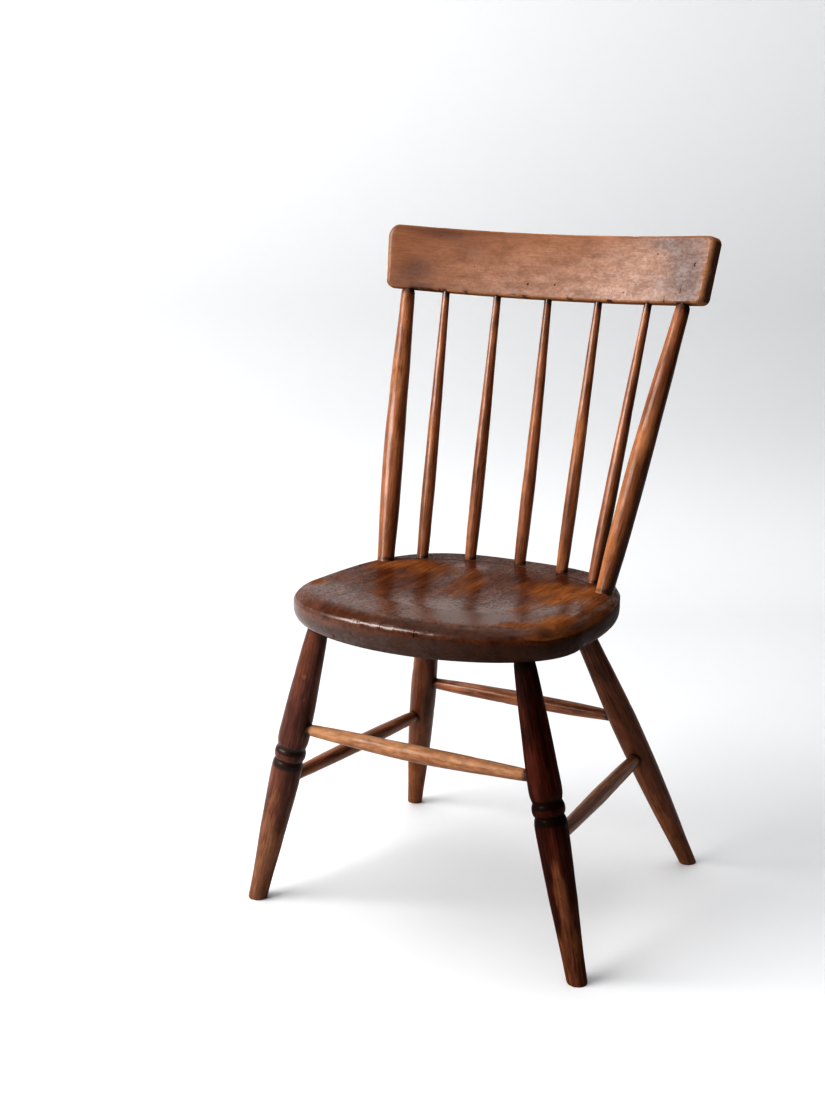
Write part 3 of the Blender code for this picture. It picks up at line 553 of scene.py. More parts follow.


# %% [markdown]
# ## The chair's own woods
#
# The seat is nearly black in the low places and orange brown where it was sat on. The rail has faded to
# a warm red brown with dull smudges. The sticks of the back are mid brown and the legs dark mahogany,
# browner at the rear. The front right leg has a nearly black copy of the leg wood, partly its own darker
# stain and partly painted shade. The front stretcher, where heels rest, is worn down to golden wood. Each
# wood has five shades: dark, middle and light stain, then dark and light bare wood. It shares all other
# values but its own few.

# %% Materials
SHADES = ("dark", "middle", "light", "bare_dark", "bare_light")
COMMON = {
    "fineness": 420.0, "figure": 0.40, "contrast": 0.36, "pores": 0.22, "relief": 0.00018,
    "patch_scale": 34.0, "patch_softness": 0.14, "bare": 0.9, "worn_dullness": 0.12,
    "speck_scale": 260.0, "crack_scale": 26.0, "crack_shortness": 1.0, "marks": 0.5,
    "mottle_scale": 60.0, "mottle": 0.20, "waviness": 1.0, "roughness": 0.42, "unevenness": 0.06,
    "grime": 0.85, "grime_colour": (0.010, 0.005, 0.003, 1.0),
    "gloss": 0.05, "varnish": 0.45, "varnish_roughness": 0.26, "crazing": 0.12,
}


def own_wood(name, *shades, **own):
    """A wood from its five shades and the values in which it differs."""
    colours = {label: (*shade, 1.0) for label, shade in zip(SHADES, shades)}
    return stained_wood(name, {**COMMON, **colours, **own})


# The seat's grime colour is a grey brown: on its side it is partly dust, partly a painted reflection of the
# floor.
seat_wood = own_wood(
    "dark_saddled_seat",
    (0.038, 0.0105, 0.0038), (0.064, 0.0190, 0.0070), (0.092, 0.0300, 0.0112),
    (0.104, 0.0370, 0.0130), (0.220, 0.0860, 0.0310),
    grime=0.80, grime_colour=(0.030, 0.0170, 0.0125, 1.0),
    speck_scale=320.0, crack_scale=60.0, crack_shortness=2.0, marks=0.85,
    contrast=0.55, pores=0.34, mottle=0.22, patch_scale=24.0, patch_softness=0.24,
    roughness=0.50, gloss=0.0, varnish=0.72, varnish_roughness=0.27, crazing=0.30,
)
rail_wood = own_wood(
    "faded_crest_rail",
    (0.116, 0.0480, 0.0235), (0.176, 0.0765, 0.0385), (0.228, 0.1070, 0.0560),
    (0.170, 0.0720, 0.0330), (0.320, 0.1750, 0.0950),
    grime=0.75, grime_colour=(0.050, 0.0220, 0.0180, 1.0),
    speck_scale=330.0, crack_scale=110.0, crack_shortness=4.5, marks=0.38,
    fineness=700.0, figure=0.30, contrast=1.0, pores=0.12, mottle=0.16, mottle_scale=75.0,
    relief=0.00009, gloss=0.0, varnish=0.29, varnish_roughness=0.36, crazing=0.30,
)
stick_wood = own_wood(
    "brown_back_sticks",
    (0.108, 0.0370, 0.0150), (0.178, 0.0660, 0.0280), (0.248, 0.0990, 0.0440),
    (0.220, 0.0890, 0.0380), (0.335, 0.1550, 0.0720),
    patch_scale=45.0, fineness=520.0, varnish=0.66, varnish_roughness=0.22,
)
leg_wood = own_wood(
    "mahogany_legs",
    (0.050, 0.0130, 0.0062), (0.082, 0.0235, 0.0110), (0.116, 0.0370, 0.0175),
    (0.122, 0.0480, 0.0270), (0.196, 0.1000, 0.0590),
    patch_scale=40.0, varnish=0.42,
)
# A nearly black copy of the leg wood for the front right leg: partly darker stain, partly painted shade.
shaded_front_leg_wood = own_wood(
    "dark_shaded_front_leg",
    (0.015, 0.0031, 0.0016), (0.034, 0.0070, 0.0032), (0.057, 0.0132, 0.0060),
    (0.068, 0.0220, 0.0110), (0.150, 0.0640, 0.0320),
    grime_colour=(0.006, 0.0020, 0.0012, 1.0),
    patch_scale=40.0, patch_softness=0.18, gloss=0.0, varnish=0.14,
)
rear_leg_wood = own_wood(
    "brown_rear_legs",
    (0.072, 0.0220, 0.0090), (0.110, 0.0370, 0.0150), (0.155, 0.0570, 0.0240),
    (0.138, 0.0500, 0.0220), (0.205, 0.0880, 0.0420),
    patch_scale=40.0, varnish=0.30,
)
worn_stretcher_wood = own_wood(
    "heel_worn_stretcher",
    (0.130, 0.0460, 0.0170), (0.195, 0.0790, 0.0330), (0.260, 0.1180, 0.0540),
    (0.250, 0.1150, 0.0550), (0.375, 0.2150, 0.1250),
    patch_scale=70.0, patch_softness=0.24, mottle_scale=150.0, contrast=0.55, pores=0.35, varnish=0.50,
)
stretcher_wood = own_wood(
    "dark_stretchers",
    (0.135, 0.0460, 0.0200), (0.225, 0.0830, 0.0360), (0.305, 0.1260, 0.0560),
    (0.270, 0.1160, 0.0510), (0.400, 0.2050, 0.1000),
    patch_scale=60.0, varnish=0.55,
)
print("materials:", [material.name for material in bpy.data.materials])

# %% [markdown]
# ## Turning a stick
#
# On a lathe a stick is a row of circles. The same is done here: a circle is added, and its edge is
# extruded again and again, each time placed at the next distance and diameter. Old sticks are not
# quite round, so each circle wavers by a tenth of a millimetre or two. A whole number kept at every
# point remembers its place round the circle, so extruded points know where they belong.

# %% Function: extrude a ring through a row of places
MERGE_DISTANCE = 0.000001
SHARP_ANGLE = math.radians(38)


def extrude_rings(name, rings):
    """Adds a circle and extrudes it through rows of places. A first or last ring at one point closes it."""
    bpy.ops.object.select_all(action="DESELECT")
    bpy.ops.mesh.primitive_circle_add(vertices=len(rings[0]), radius=1.0, fill_type="NOTHING")
    piece = start_piece(name)
    order = piece.data.attributes.new("around", "INT", "POINT")
    for index, item in enumerate(order.data):
        item.value = index
    bpy.ops.object.mode_set(mode="EDIT")
    bpy.ops.mesh.select_all(action="SELECT")
    for number, ring in enumerate(rings):
        if number:
            bpy.ops.mesh.extrude_region_move()
        shell = bmesh.from_edit_mesh(piece.data)
        around = shell.verts.layers.int["around"]
        for vert in shell.verts:
            if vert.select:
                vert.co = ring[vert[around]]
    bmesh.update_edit_mesh(piece.data)
    bpy.ops.mesh.select_all(action="SELECT")
    bpy.ops.mesh.remove_doubles(threshold=MERGE_DISTANCE)
    bpy.ops.mesh.normals_make_consistent(inside=False)
    bpy.ops.object.mode_set(mode="OBJECT")
    piece.data.attributes.remove(piece.data.attributes["around"])
    return piece


# %% [markdown]
# The diameters are measured at a dozen or two places and have to be joined smoothly, without bulging
# past a measured value. A monotone cubic does that: its slope is zero at every crest and hollow.

# %% Function: a smooth profile
def smooth_profile(table, spacing):
    """Joins (distance, diameter) pairs by monotone cubics, and adds points no further apart than spacing."""
    spans = []
    for (start, before), (end, after) in zip(table, table[1:]):
        spans.append((end - start, (after - before) / (end - start)))
    slopes = [spans[0][1]]
    for (_, before), (_, after) in zip(spans, spans[1:]):
        agree = before * after > 0
        slopes.append(2 * before * after / (before + after) if agree else 0.0)
    slopes.append(spans[-1][1])
    profile = []
    for index, (width, _) in enumerate(spans):
        (start, before), (_, after) = table[index], table[index + 1]
        count = max(1, math.ceil(width / spacing))
        for step in range(count):
            share = step / count
            value = (2 * share**3 - 3 * share**2 + 1) * before + (3 * share**2 - 2 * share**3) * after
            value += (share**3 - 2 * share**2 + share) * width * slopes[index]
            value += (share**3 - share**2) * width * slopes[index + 1]
            profile.append((start + share * width, value))
    profile.append(table[-1])
    return profile


# %% Function: turn a stick
RING_SPACING = 0.0045
OUT_OF_ROUND = 0.00032
WAVER_ROUND, WAVER_ALONG = 1.3, 22
TENON_CHAMFER = 0.001


def turn_stick(name, profile, sides, seed, bow=(0.0, 0.0), bow_length=1.0, dents=()):
    """Turns a stick along Z from (distance, diameter) pairs, slightly out of round, bent and dented.

    A dent is its distance along the stick, its turn round it, its width and its depth."""
    rings = []
    for distance, diameter in [(profile[0][0], 0)] + profile + [(profile[-1][0], 0)]:
        share = min(max(distance / bow_length, 0), 1)
        lean = math.sin(math.pi * share) ** 2
        ring = []
        for index in range(sides):
            angle = math.tau * index / sides
            out = Vector((math.cos(angle), math.sin(angle), 0))
            rough = Vector((out.x * WAVER_ROUND, out.y * WAVER_ROUND + seed, distance * WAVER_ALONG))
            radius = diameter / 2
            if diameter:
                radius += noise.noise(rough) * OUT_OF_ROUND
            for height, turn, width, depth in dents:
                away = ((distance - height) / width) ** 2
                apart = (angle - turn + math.pi) % math.tau - math.pi
                away += (apart * radius / width) ** 2
                radius -= min(radius, depth * math.exp(-away))
            ring.append(out * radius + Vector((bow[0] * lean, bow[1] * lean, distance)))
        rings.append(ring)
    return extrude_rings(name, rings)


# %% [markdown]
# A post, a spindle or a stretcher has a tenon at both ends: a straight round pin as thick as the stick is
# where it goes in, with a chamfered tip.

# %% Function: add the tenons
def with_tenons(visible, whole, low_depth, high_depth):
    """A whole profile from the (distance, diameter) pairs of a stick's visible part."""
    base, tip = visible[0][1], visible[-1][1]
    table = [(TENON_CHAMFER, base), (low_depth * 0.5, base)] + visible
    table += [(whole - high_depth * 0.5, tip), (whole - TENON_CHAMFER, tip)]
    profile = [(0.0, base - TENON_CHAMFER * 2)] + smooth_profile(table, RING_SPACING)
    return profile + [(whole, tip - TENON_CHAMFER * 2)]


# %% [markdown]
# ## Sockets
#
# Each stick ends in a round tenon that is glued into a socket, and the thin dark line round it is one of
# the things that makes a joint look real. So the sockets are bored as a joiner would, with a cylinder
# on the stick's own axis, a hair wider than the tenon. All the drills of one piece are joined and
# taken away by one Boolean modifier.

# %% Functions: bore and cut
CLEARANCE = 0.0003
DRILL_OVERRUN = 0.010
DRILL_SIDES = 48


def pick(*pieces):
    """Selects these pieces alone and makes the first one active."""
    bpy.ops.object.select_all(action="DESELECT")
    for piece in pieces:
        piece.select_set(True)
    bpy.context.view_layer.objects.active = pieces[0]


def drill(axis, radius, low, high):
    """A cylinder on an axis, to be taken out of a piece."""
    middle = axis @ Matrix.Translation((0, 0, (low + high) / 2))
    bpy.ops.mesh.primitive_cylinder_add(
        vertices=DRILL_SIDES,
        radius=radius + CLEARANCE,
        depth=high - low,
        location=middle.to_translation(),
        rotation=middle.to_euler(),
    )
    return bpy.context.object


def take_out(piece, cutters, name):
    """Joins the cutters and takes them out of a piece with an exact Boolean."""
    pick(*cutters)
    if len(cutters) > 1:
        bpy.ops.object.join()
    cutter = bpy.context.view_layer.objects.active
    pick(piece)
    cut = piece.modifiers.new(name, "BOOLEAN")
    cut.operation = "DIFFERENCE"
    cut.solver = "EXACT"
    cut.object = cutter
    before = len(piece.data.polygons)
    bpy.ops.object.modifier_apply(modifier=cut.name)
    bpy.data.objects.remove(cutter, do_unlink=True)
    print(name, "in", piece.name, "-", before, "faces became", len(piece.data.polygons))


def bore(piece, drills, name):
    """Bores a piece with (axis, radius, low, high) drills."""
    take_out(piece, [drill(*values) for values in drills], name)


# %% [markdown]
# ## Finishing a piece
#
# When the shape is done the piece is laid in its place on the chair and every point learns four things:
# where it lay in its plank before it was bent or leaned, which steers the grain, how much it is rubbed,
# how much dirt it collects, together with the painted shade and reflection of some pieces, and how much
# its varnish shines. The last three come from bell curves round joints and edges, and from lists of soft
# spots, each with a place, sizes and a strength.

# %% Functions: place and finish
MOST, MOST_POLISH = 1.2, 3.0
SPOT_REACH = 3
PLANK_STEP = (0.37, 0.53, 0.71)


def lay_in_place(piece, matrix):
    """Moves a piece from the bench to its place on the chair, with the place kept in its mesh."""
    pick(piece)
    piece.matrix_world = matrix
    bpy.ops.object.transform_apply(location=True, rotation=True, scale=True)


def bell(distance, width):
    """1 in the middle, falling off smoothly on both sides."""
    return math.exp(-((distance / width) ** 2))


def spots_at(point, spots):
    """Sum of soft spots, each as (place, sizes, strength). They lie on a face or in space."""
    total = 0.0
    for middle, sizes, strength in spots:
        away = sum(((at - centre) / size) ** 2 for at, centre, size in zip(point, middle, sizes))
        if away < SPOT_REACH**2:
            total += strength * math.exp(-away)
    return total


def share_between(value, low, high):
    """How far a value lies between two limits, from 0 to 1."""
    return min(max((value - low) / (high - low), 0.0), 1.0)


def full_polish(point):
    """The same shine everywhere."""
    return 1.0


def finish_wood(piece, node, material, to_bench, wear_at, grime_at, seed, polish_at=full_polish):
    """Gives a piece its grain, wear, grime with any painted shade or reflection, and polish, its material,
    and its place in the chair.

    to_bench is the matrix or the function that takes a point back to the lathe or the plank."""
    mesh = piece.data
    if isinstance(to_bench, Matrix):
        benches = [to_bench @ vert.co for vert in mesh.vertices]
    else:
        benches = [to_bench(vert.co) for vert in mesh.vertices]
    offset = Vector([step * seed for step in PLANK_STEP])
    grains = [value for bench in benches for value in bench + offset]
    mesh.attributes.new("grain", "FLOAT_VECTOR", "POINT").data.foreach_set("vector", grains)
    maps = {"wear": (wear_at, MOST), "grime": (grime_at, MOST), "polish": (polish_at, MOST_POLISH)}
    for name, (amount_at, most) in maps.items():
        amounts = [min(max(amount_at(bench), 0.0), most) for bench in benches]
        mesh.attributes.new(name, "FLOAT", "POINT").data.foreach_set("value", amounts)
    mesh.materials.clear()
    mesh.materials.append(material)
    pick(piece)
    bpy.ops.object.shade_smooth_by_angle(angle=SHARP_ANGLE)
    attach(piece, "root")
    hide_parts(node)
    print(piece.name, "has", len(mesh.vertices), "points")


# %% [markdown]
# ## Posts and spindles
#
# The posts swell to their thickest a third of the way up and are shouldered under the rail to a thin
# tenon. The spindles are thickest low down and taper to about a centimetre. The diameters below stand
# at shares of the visible length, so they fit a stick of any length. The neck steps stand at shares of
# the neck's length, below the rail.

# %% Tables for the back's sticks
POST_SHARES = (
    (0.0, 0.0230), (0.030, 0.0236), (0.140, 0.0263), (0.220, 0.0276), (0.360, 0.0281),
    (0.460, 0.0278), (0.585, 0.0261), (0.735, 0.0243), (0.880, 0.0208), (0.970, 0.0195),
)
SPINDLE_SHARES = (
    (0.0, 0.0160), (0.100, 0.0172), (0.250, 0.0179), (0.440, 0.0167),
    (0.600, 0.0149), (0.750, 0.0131), (0.900, 0.0113), (1.0, 0.0104),
)
POST_SEAT_DEPTH = 0.028
SPINDLE_SEAT_DEPTH = 0.024
RAIL_DEPTH = 0.020
POST_NECK = 0.008
NECK_STEPS = ((0.45, 0.0183), (0.12, 0.0158), (0.0, 0.0135))


def back_stick(is_post, whole):
    """Profile of a post or a spindle with its tenons, and its depth in the seat."""
    seat_depth = POST_SEAT_DEPTH if is_post else SPINDLE_SEAT_DEPTH
    length = whole - seat_depth - RAIL_DEPTH
    shares = POST_SHARES if is_post else SPINDLE_SHARES
    visible = [(seat_depth + length * share, diameter) for share, diameter in shares]
    if is_post:
        neck = seat_depth + length
        visible += [(neck - POST_NECK * below, diameter) for below, diameter in NECK_STEPS]
    return with_tenons(visible, whole, seat_depth, RAIL_DEPTH), seat_depth


def facing_right(point, right):
    """How far a place on a stick faces the right, from -1 to 1. On the axis it is 0."""
    return point.xy.normalized().dot(right) if point.xy.length > 0.002 else 0.0


# %% [markdown]
# Each stick is darkened on its right side with painted shade, most of all on the right post and the last
# spindle, which are also darker low down on that side and shine less. Low on its left side the right post
# is lightened with a painted highlight. The tables below hold what is special to one stick.

# %% Turn the posts and spindles
POST_BOW = 0.0035
MIDDLE_SPINDLE_BOW = 0.0025
BACK_DENTS, BACK_DENT_SIZE = 5, (0.004, 0.0003)
LOWER_SHADE = {"right_post": (0.45, 0.40), "spindle_5": (0.40, 0.45)}
USUAL_SHADE = (0.15, 0.16)
SIDE_PAINTED_SHADE = {"right_post": 0.52, "left_post": 0.26, "spindle_5": 0.40}
USUAL_SIDE_SHADE = 0.20
LEFT_PAINTED_HIGHLIGHT = {"right_post": 0.60}
SHINE = {"right_post": 0.62, "left_post": 0.90, "spindle_5": 0.85}
BACK_STICKS = [name for name in STICKS if name.endswith("post") or name.startswith("spindle")]
socket_drills = {"seat": [], "crest_rail": []}

for seed, node in enumerate(BACK_STICKS, start=1):
    bench, to_bench, whole = on_lathe(node)
    is_post = node.endswith("post")
    profile, seat_depth = back_stick(is_post, whole)
    rail_joint = whole - RAIL_DEPTH
    bow = (0.0, 0.0)
    if is_post:
        forward = to_bench.to_3x3() @ Vector((0, -1, 0))
        bow = tuple(forward.xy.normalized() * POST_BOW)
    if node == "spindle_3":
        bow = (0.0, MIDDLE_SPINDLE_BOW)
    dents = []
    for number in range(BACK_DENTS):
        height = 0.06 + 0.29 * noise.noise(Vector((seed, number, 0.5))) ** 2 + 0.055 * number
        dents.append((height, number * 2.1 + seed, *BACK_DENT_SIZE))
    stick = turn_stick(node + "_turned", profile, 40 if is_post else 32, seed * 7.0, bow, whole, dents)
    lay_in_place(stick, bench)

    shade, reach = LOWER_SHADE.get(node, USUAL_SHADE)
    side_shade = SIDE_PAINTED_SHADE.get(node, USUAL_SIDE_SHADE)
    left_highlight = LEFT_PAINTED_HIGHLIGHT.get(node, 0.0)
    shine = SHINE.get(node, 1.0)
    right = (to_bench.to_3x3() @ view_right).xy.normalized()

    # Darker at both joints; on its right side each stick carries painted shade, more of it low down.
    def grime_at(point):
        at_joints = 0.5 * bell(point.z - seat_depth, 0.0025) + 0.8 * bell(point.z - rail_joint, 0.0090)
        lower = shade * max(0.0, 1 - (point.z - seat_depth) / reach)
        return at_joints + (lower + side_shade) * share_between(facing_right(point, right), -0.7, 0.7)

    # Wear along the stick; low on the right post's left side, extra wear lightens it as a painted highlight.
    def wear_at(point):
        share = share_between(point.z, seat_depth, rail_joint)
        sway = noise.noise(Vector((point.z * 12, seed * 3.0, 0)))
        left = left_highlight * share_between(-facing_right(point, right), 0.3, 0.9)
        left *= 1 - share_between(point.z - seat_depth, 0.06, 0.15)
        return 0.30 + 0.45 * sway + 0.12 * math.sin(math.pi * share) + left

    def polish_at(point):
        return shine * (0.8 + 0.2 * share_between(point.z - seat_depth, 0.10, 0.30))

    finish_wood(stick, node, stick_wood, to_bench, wear_at, grime_at, seed, polish_at)
    base_radius, tip_radius = profile[1][1] / 2, profile[-2][1] / 2
    socket_drills["seat"].append((bench, base_radius, -CLEARANCE, seat_depth + DRILL_OVERRUN))
    socket_drills["crest_rail"].append((bench, tip_radius, rail_joint - DRILL_OVERRUN, whole + CLEARANCE))

# %% [markdown]
# ## Legs
#
# All four legs splay. The rear ones are plain tapers with a swelling at mid height. The front ones carry
# a turned bead between two grooves, with the lower leg shouldered below it, and the grooves are black
# with old varnish. Heights are in metres along the leg, from the floor, for a leg that meets the seat at
# TABLE_HEIGHT. They are scaled to the leg at hand.

# %% Tables for the legs
FRONT_LEG_TABLE = (
    (0.012, 0.0257), (0.027, 0.0267), (0.054, 0.0293), (0.082, 0.0324), (0.103, 0.0348),
    (0.120, 0.0361), (0.148, 0.0386), (0.176, 0.0403), (0.190, 0.0407), (0.196, 0.0404),
    (0.200, 0.0393), (0.2025, 0.0376), (0.2040, 0.0362), (0.2052, 0.0360), (0.2064, 0.0378),
    (0.2080, 0.0397), (0.2110, 0.0410), (0.2140, 0.0412), (0.2170, 0.0405), (0.2195, 0.0388),
    (0.2212, 0.0370), (0.2226, 0.0366), (0.2245, 0.0378), (0.2275, 0.0394), (0.2320, 0.0408),
    (0.2380, 0.0412), (0.2480, 0.0406), (0.2610, 0.0395), (0.2780, 0.0385), (0.2980, 0.0369),
    (0.3220, 0.0346), (0.3460, 0.0318), (0.3740, 0.0284), (0.3860, 0.0266),
)
REAR_LEG_TABLE = (
    (0.014, 0.0230), (0.038, 0.0250), (0.065, 0.0280), (0.102, 0.0321), (0.137, 0.0344), (0.182, 0.0365),
    (0.222, 0.0371), (0.261, 0.0352), (0.292, 0.0330), (0.322, 0.0304), (0.360, 0.0276), (0.386, 0.0263),
)
TABLE_HEIGHT = 0.395
LEG_TENON = 0.024
LEG_TENON_DEPTH = 0.026
LEG_SIDES = 48
LEG_DENTS, LEG_DENT_SIZE = 8, (0.005, 0.0004)
FOOT_OVERRUN = 0.014
FOOT_EASE = 0.0012
SOLE_SHARE = 0.93


def trim_foot(leg):
    """Cuts a leg flat on the floor and eases the edge of the cut."""
    bpy.ops.object.mode_set(mode="EDIT")
    bpy.ops.mesh.select_all(action="SELECT")
    bpy.ops.mesh.bisect(plane_co=(0, 0, FOOT_EASE), plane_no=(0, 0, 1))
    bpy.ops.mesh.select_all(action="SELECT")
    bpy.ops.mesh.bisect(plane_co=(0, 0, 0), plane_no=(0, 0, 1), use_fill=True, clear_inner=True)
    bpy.ops.mesh.select_all(action="DESELECT")
    shell = bmesh.from_edit_mesh(leg.data)
    sole = [vert for vert in shell.verts if vert.co.z < FLOOR_CUT]
    for vert in sole:
        vert.co.z = 0.0
        vert.select_set(True)
    middle = sum((vert.co for vert in sole), Vector()) / len(sole)
    bmesh.update_edit_mesh(leg.data)
    bpy.ops.transform.resize(value=(SOLE_SHARE, SOLE_SHARE, 1), center_override=middle)
    bpy.ops.object.mode_set(mode="OBJECT")


# %% Turn the legs
LEGS = [name for name in STICKS if name.endswith("leg")]
leg_pieces = {}
for seed, node in enumerate(LEGS, start=11):
    bench, to_bench, whole = on_lathe(node)
    seat_joint = whole - LEG_TENON_DEPTH
    stretch_up = seat_joint / TABLE_HEIGHT
    table = FRONT_LEG_TABLE if node.startswith("front") else REAR_LEG_TABLE
    scaled = [(height * stretch_up, diameter) for height, diameter in table]
    slope = (scaled[1][1] - scaled[0][1]) / (scaled[1][0] - scaled[0][0])
    under = -FOOT_OVERRUN
    scaled = [(under, scaled[0][1] + slope * (under - scaled[0][0]))] + scaled
    scaled += [(seat_joint - 0.001, LEG_TENON), (whole - TENON_CHAMFER, LEG_TENON)]
    profile = smooth_profile(scaled, RING_SPACING) + [(whole, LEG_TENON - TENON_CHAMFER * 2)]
    dents = []
    for number in range(LEG_DENTS):
        height = 0.03 + 0.33 * abs(noise.noise(Vector((seed, number * 1.7, 2.5)))) + 0.03 * number
        dents.append((height, number * 1.9 + seed, *LEG_DENT_SIZE))
    leg = turn_stick(node + "_turned", profile, LEG_SIDES, seed * 5.0, dents=dents)
    lay_in_place(leg, bench)
    trim_foot(leg)
    leg_pieces[node] = (leg, to_bench, seat_joint, stretch_up, seed)
    drill_low = seat_joint - DRILL_OVERRUN
    socket_drills["seat"].append((bench, LEG_TENON / 2, drill_low, whole + CLEARANCE))
    print(node, "turned,", len(leg.data.polygons), "faces")

# %% [markdown]
# ## Stretchers
#
# Four stretchers tie the legs together. Each is thickest in its middle and thins to a tenon at both
# ends. The front one sags a little and its top is rubbed pale by heels. Their sockets are bored into
# the legs before the legs get their finish, so that the dark ring round each joint can be placed.

# %% Turn the stretchers
STRETCHER_DEPTH = 0.018
STRETCHER_SIDES = 32
STRETCHER_DENTS = 6
FRONT_STRETCHER_SAG = 0.0025
FRONT_STRETCHER_SHARES = (
    (0.0, 0.0146), (0.03, 0.0158), (0.10, 0.0172), (0.25, 0.0199), (0.40, 0.0218), (0.50, 0.0223),
    (0.60, 0.0219), (0.75, 0.0201), (0.90, 0.0173), (0.97, 0.0157), (1.0, 0.0146),
)
REAR_STRETCHER_SHARES = (
    (0.0, 0.0151), (0.10, 0.0170), (0.30, 0.0196), (0.50, 0.0210), (0.70, 0.0198), (0.90, 0.0174),
    (1.0, 0.0151),
)
SIDE_STRETCHER_SHARES = (
    (0.0, 0.0161), (0.08, 0.0176), (0.30, 0.0200), (0.50, 0.0211), (0.70, 0.0204), (0.92, 0.0184),
    (1.0, 0.0161),
)
STRETCHERS = {
    "front_stretcher": (FRONT_STRETCHER_SHARES, "front_left_leg", "front_right_leg"),
    "rear_stretcher": (REAR_STRETCHER_SHARES, "rear_left_leg", "rear_right_leg"),
    "left_side_stretcher": (SIDE_STRETCHER_SHARES, "front_left_leg", "rear_left_leg"),
    "right_side_stretcher": (SIDE_STRETCHER_SHARES, "front_right_leg", "rear_right_leg"),
}
STRETCHER_SHADE = {"right_side_stretcher": 0.42, "left_side_stretcher": 0.28}
leg_drills = {name: [] for name in LEGS}
leg_joints = {name: [] for name in LEGS}

for seed, (node, (shares, first_leg, second_leg)) in enumerate(STRETCHERS.items(), start=21):
    bench, to_bench, whole = on_lathe(node)
    length = whole - 2 * STRETCHER_DEPTH
    visible = [(STRETCHER_DEPTH + length * share, diameter) for share, diameter in shares]
    profile = with_tenons(visible, whole, STRETCHER_DEPTH, STRETCHER_DEPTH)
    is_front = node == "front_stretcher"
    up = to_bench.to_3x3() @ Vector((0, 0, 1))
    bow = tuple(-up.xy * FRONT_STRETCHER_SAG) if is_front else (0.0, 0.0)
    dents = []
    for number in range(STRETCHER_DENTS):
        dents.append((0.04 + 0.045 * number, number * 1.3 + seed, *LEG_DENT_SIZE))
    stretcher = turn_stick(node + "_turned", profile, STRETCHER_SIDES, seed * 3.0, bow, whole, dents)
    lay_in_place(stretcher, bench)
    shade = STRETCHER_SHADE.get(node, 0.0)

    # Darker towards each joint; the side stretchers are also darkened all over with painted shade.
    def grime_at(point):
        return shade + bell(min(point.z, whole - point.z) - STRETCHER_DEPTH, 0.006)

    def wear_at(point):
        upward = (point.x * up.x + point.y * up.y) / 0.010
        on_top = upward * math.sin(math.pi * share_between(point.z, 0, whole))
        sway = 0.25 * noise.noise(Vector((point.z * 20, seed, upward)))
        if is_front:
            return 0.50 + 0.32 * on_top + 0.50 * bell(point.z - 0.045, 0.035) + sway
        return 0.22 + 0.22 * on_top + sway

    wood = worn_stretcher_wood if is_front else stretcher_wood
    finish_wood(stretcher, node, wood, to_bench, wear_at, grime_at, seed)
    reach = STRETCHER_DEPTH + DRILL_OVERRUN
    radius = profile[1][1] / 2
    leg_drills[first_leg].append((bench, radius, -CLEARANCE, reach))
    leg_drills[second_leg].append((bench, radius, whole - reach, whole + CLEARANCE))
    leg_joints[first_leg].append(bench @ Vector((0, 0, STRETCHER_DEPTH)))
    leg_joints[second_leg].append(bench @ Vector((0, 0, whole - STRETCHER_DEPTH)))

# %% [markdown]
# Now the legs can be bored and finished. Dirt gathers in the grooves beside the bead, under the seat and
# round each stretcher. Heels and brooms have worn the lowest hand's breadth of every leg paler. The
# first table gives each groove's height and width. The second gives the kicked places of each leg: their
# height, their turn from the leg's outer front, how tall and how wide they are, and how strong.

# %% Bore and finish the legs
JOINT_GRIME = 0.010
LOW_WEAR_HEIGHT = 0.10
FRONT_LOW_WEAR, REAR_LOW_WEAR = 0.68, 0.35
GROOVES = ((0.199, 0.0045), (0.2045, 0.0020), (0.2180, 0.0030), (0.2230, 0.0026))
OUTER_FRONT = Vector((0.55, -0.83, 0.0))
KICKED = {
    "front_left_leg": (
        (0.165, 0.3, 0.040, 1.6, 0.40), (0.105, -0.2, 0.045, 1.6, 0.40), (0.050, 0.2, 0.040, 1.6, 0.45),
        (0.335, -0.3, 0.006, 0.3, 0.70), (0.305, 0.0, 0.004, 0.2, 0.70), (0.250, 0.4, 0.020, 0.6, 0.22),
        (0.008, -0.6, 0.014, 1.2, 0.50),
    ),
    "front_right_leg": (
        (0.150, -0.35, 0.028, 0.45, 0.55), (0.105, -0.15, 0.030, 0.45, 0.52),
        (0.060, 0.0, 0.034, 0.60, 0.45), (0.016, 0.0, 0.028, 2.60, 1.30), (0.262, 0.2, 0.020, 0.40, 0.30),
    ),
    "rear_left_leg": ((0.080, 0.0, 0.060, 2.5, 0.85), (0.300, 0.0, 0.040, 0.8, 0.25)),
    "rear_right_leg": ((0.090, 0.0, 0.050, 1.5, 0.30), (0.260, 0.4, 0.050, 0.8, 0.25)),
}
LEG_WOODS = {
    "front_left_leg": leg_wood,
    "front_right_leg": shaded_front_leg_wood,
    "rear_left_leg": rear_leg_wood,
    "rear_right_leg": rear_leg_wood,
}

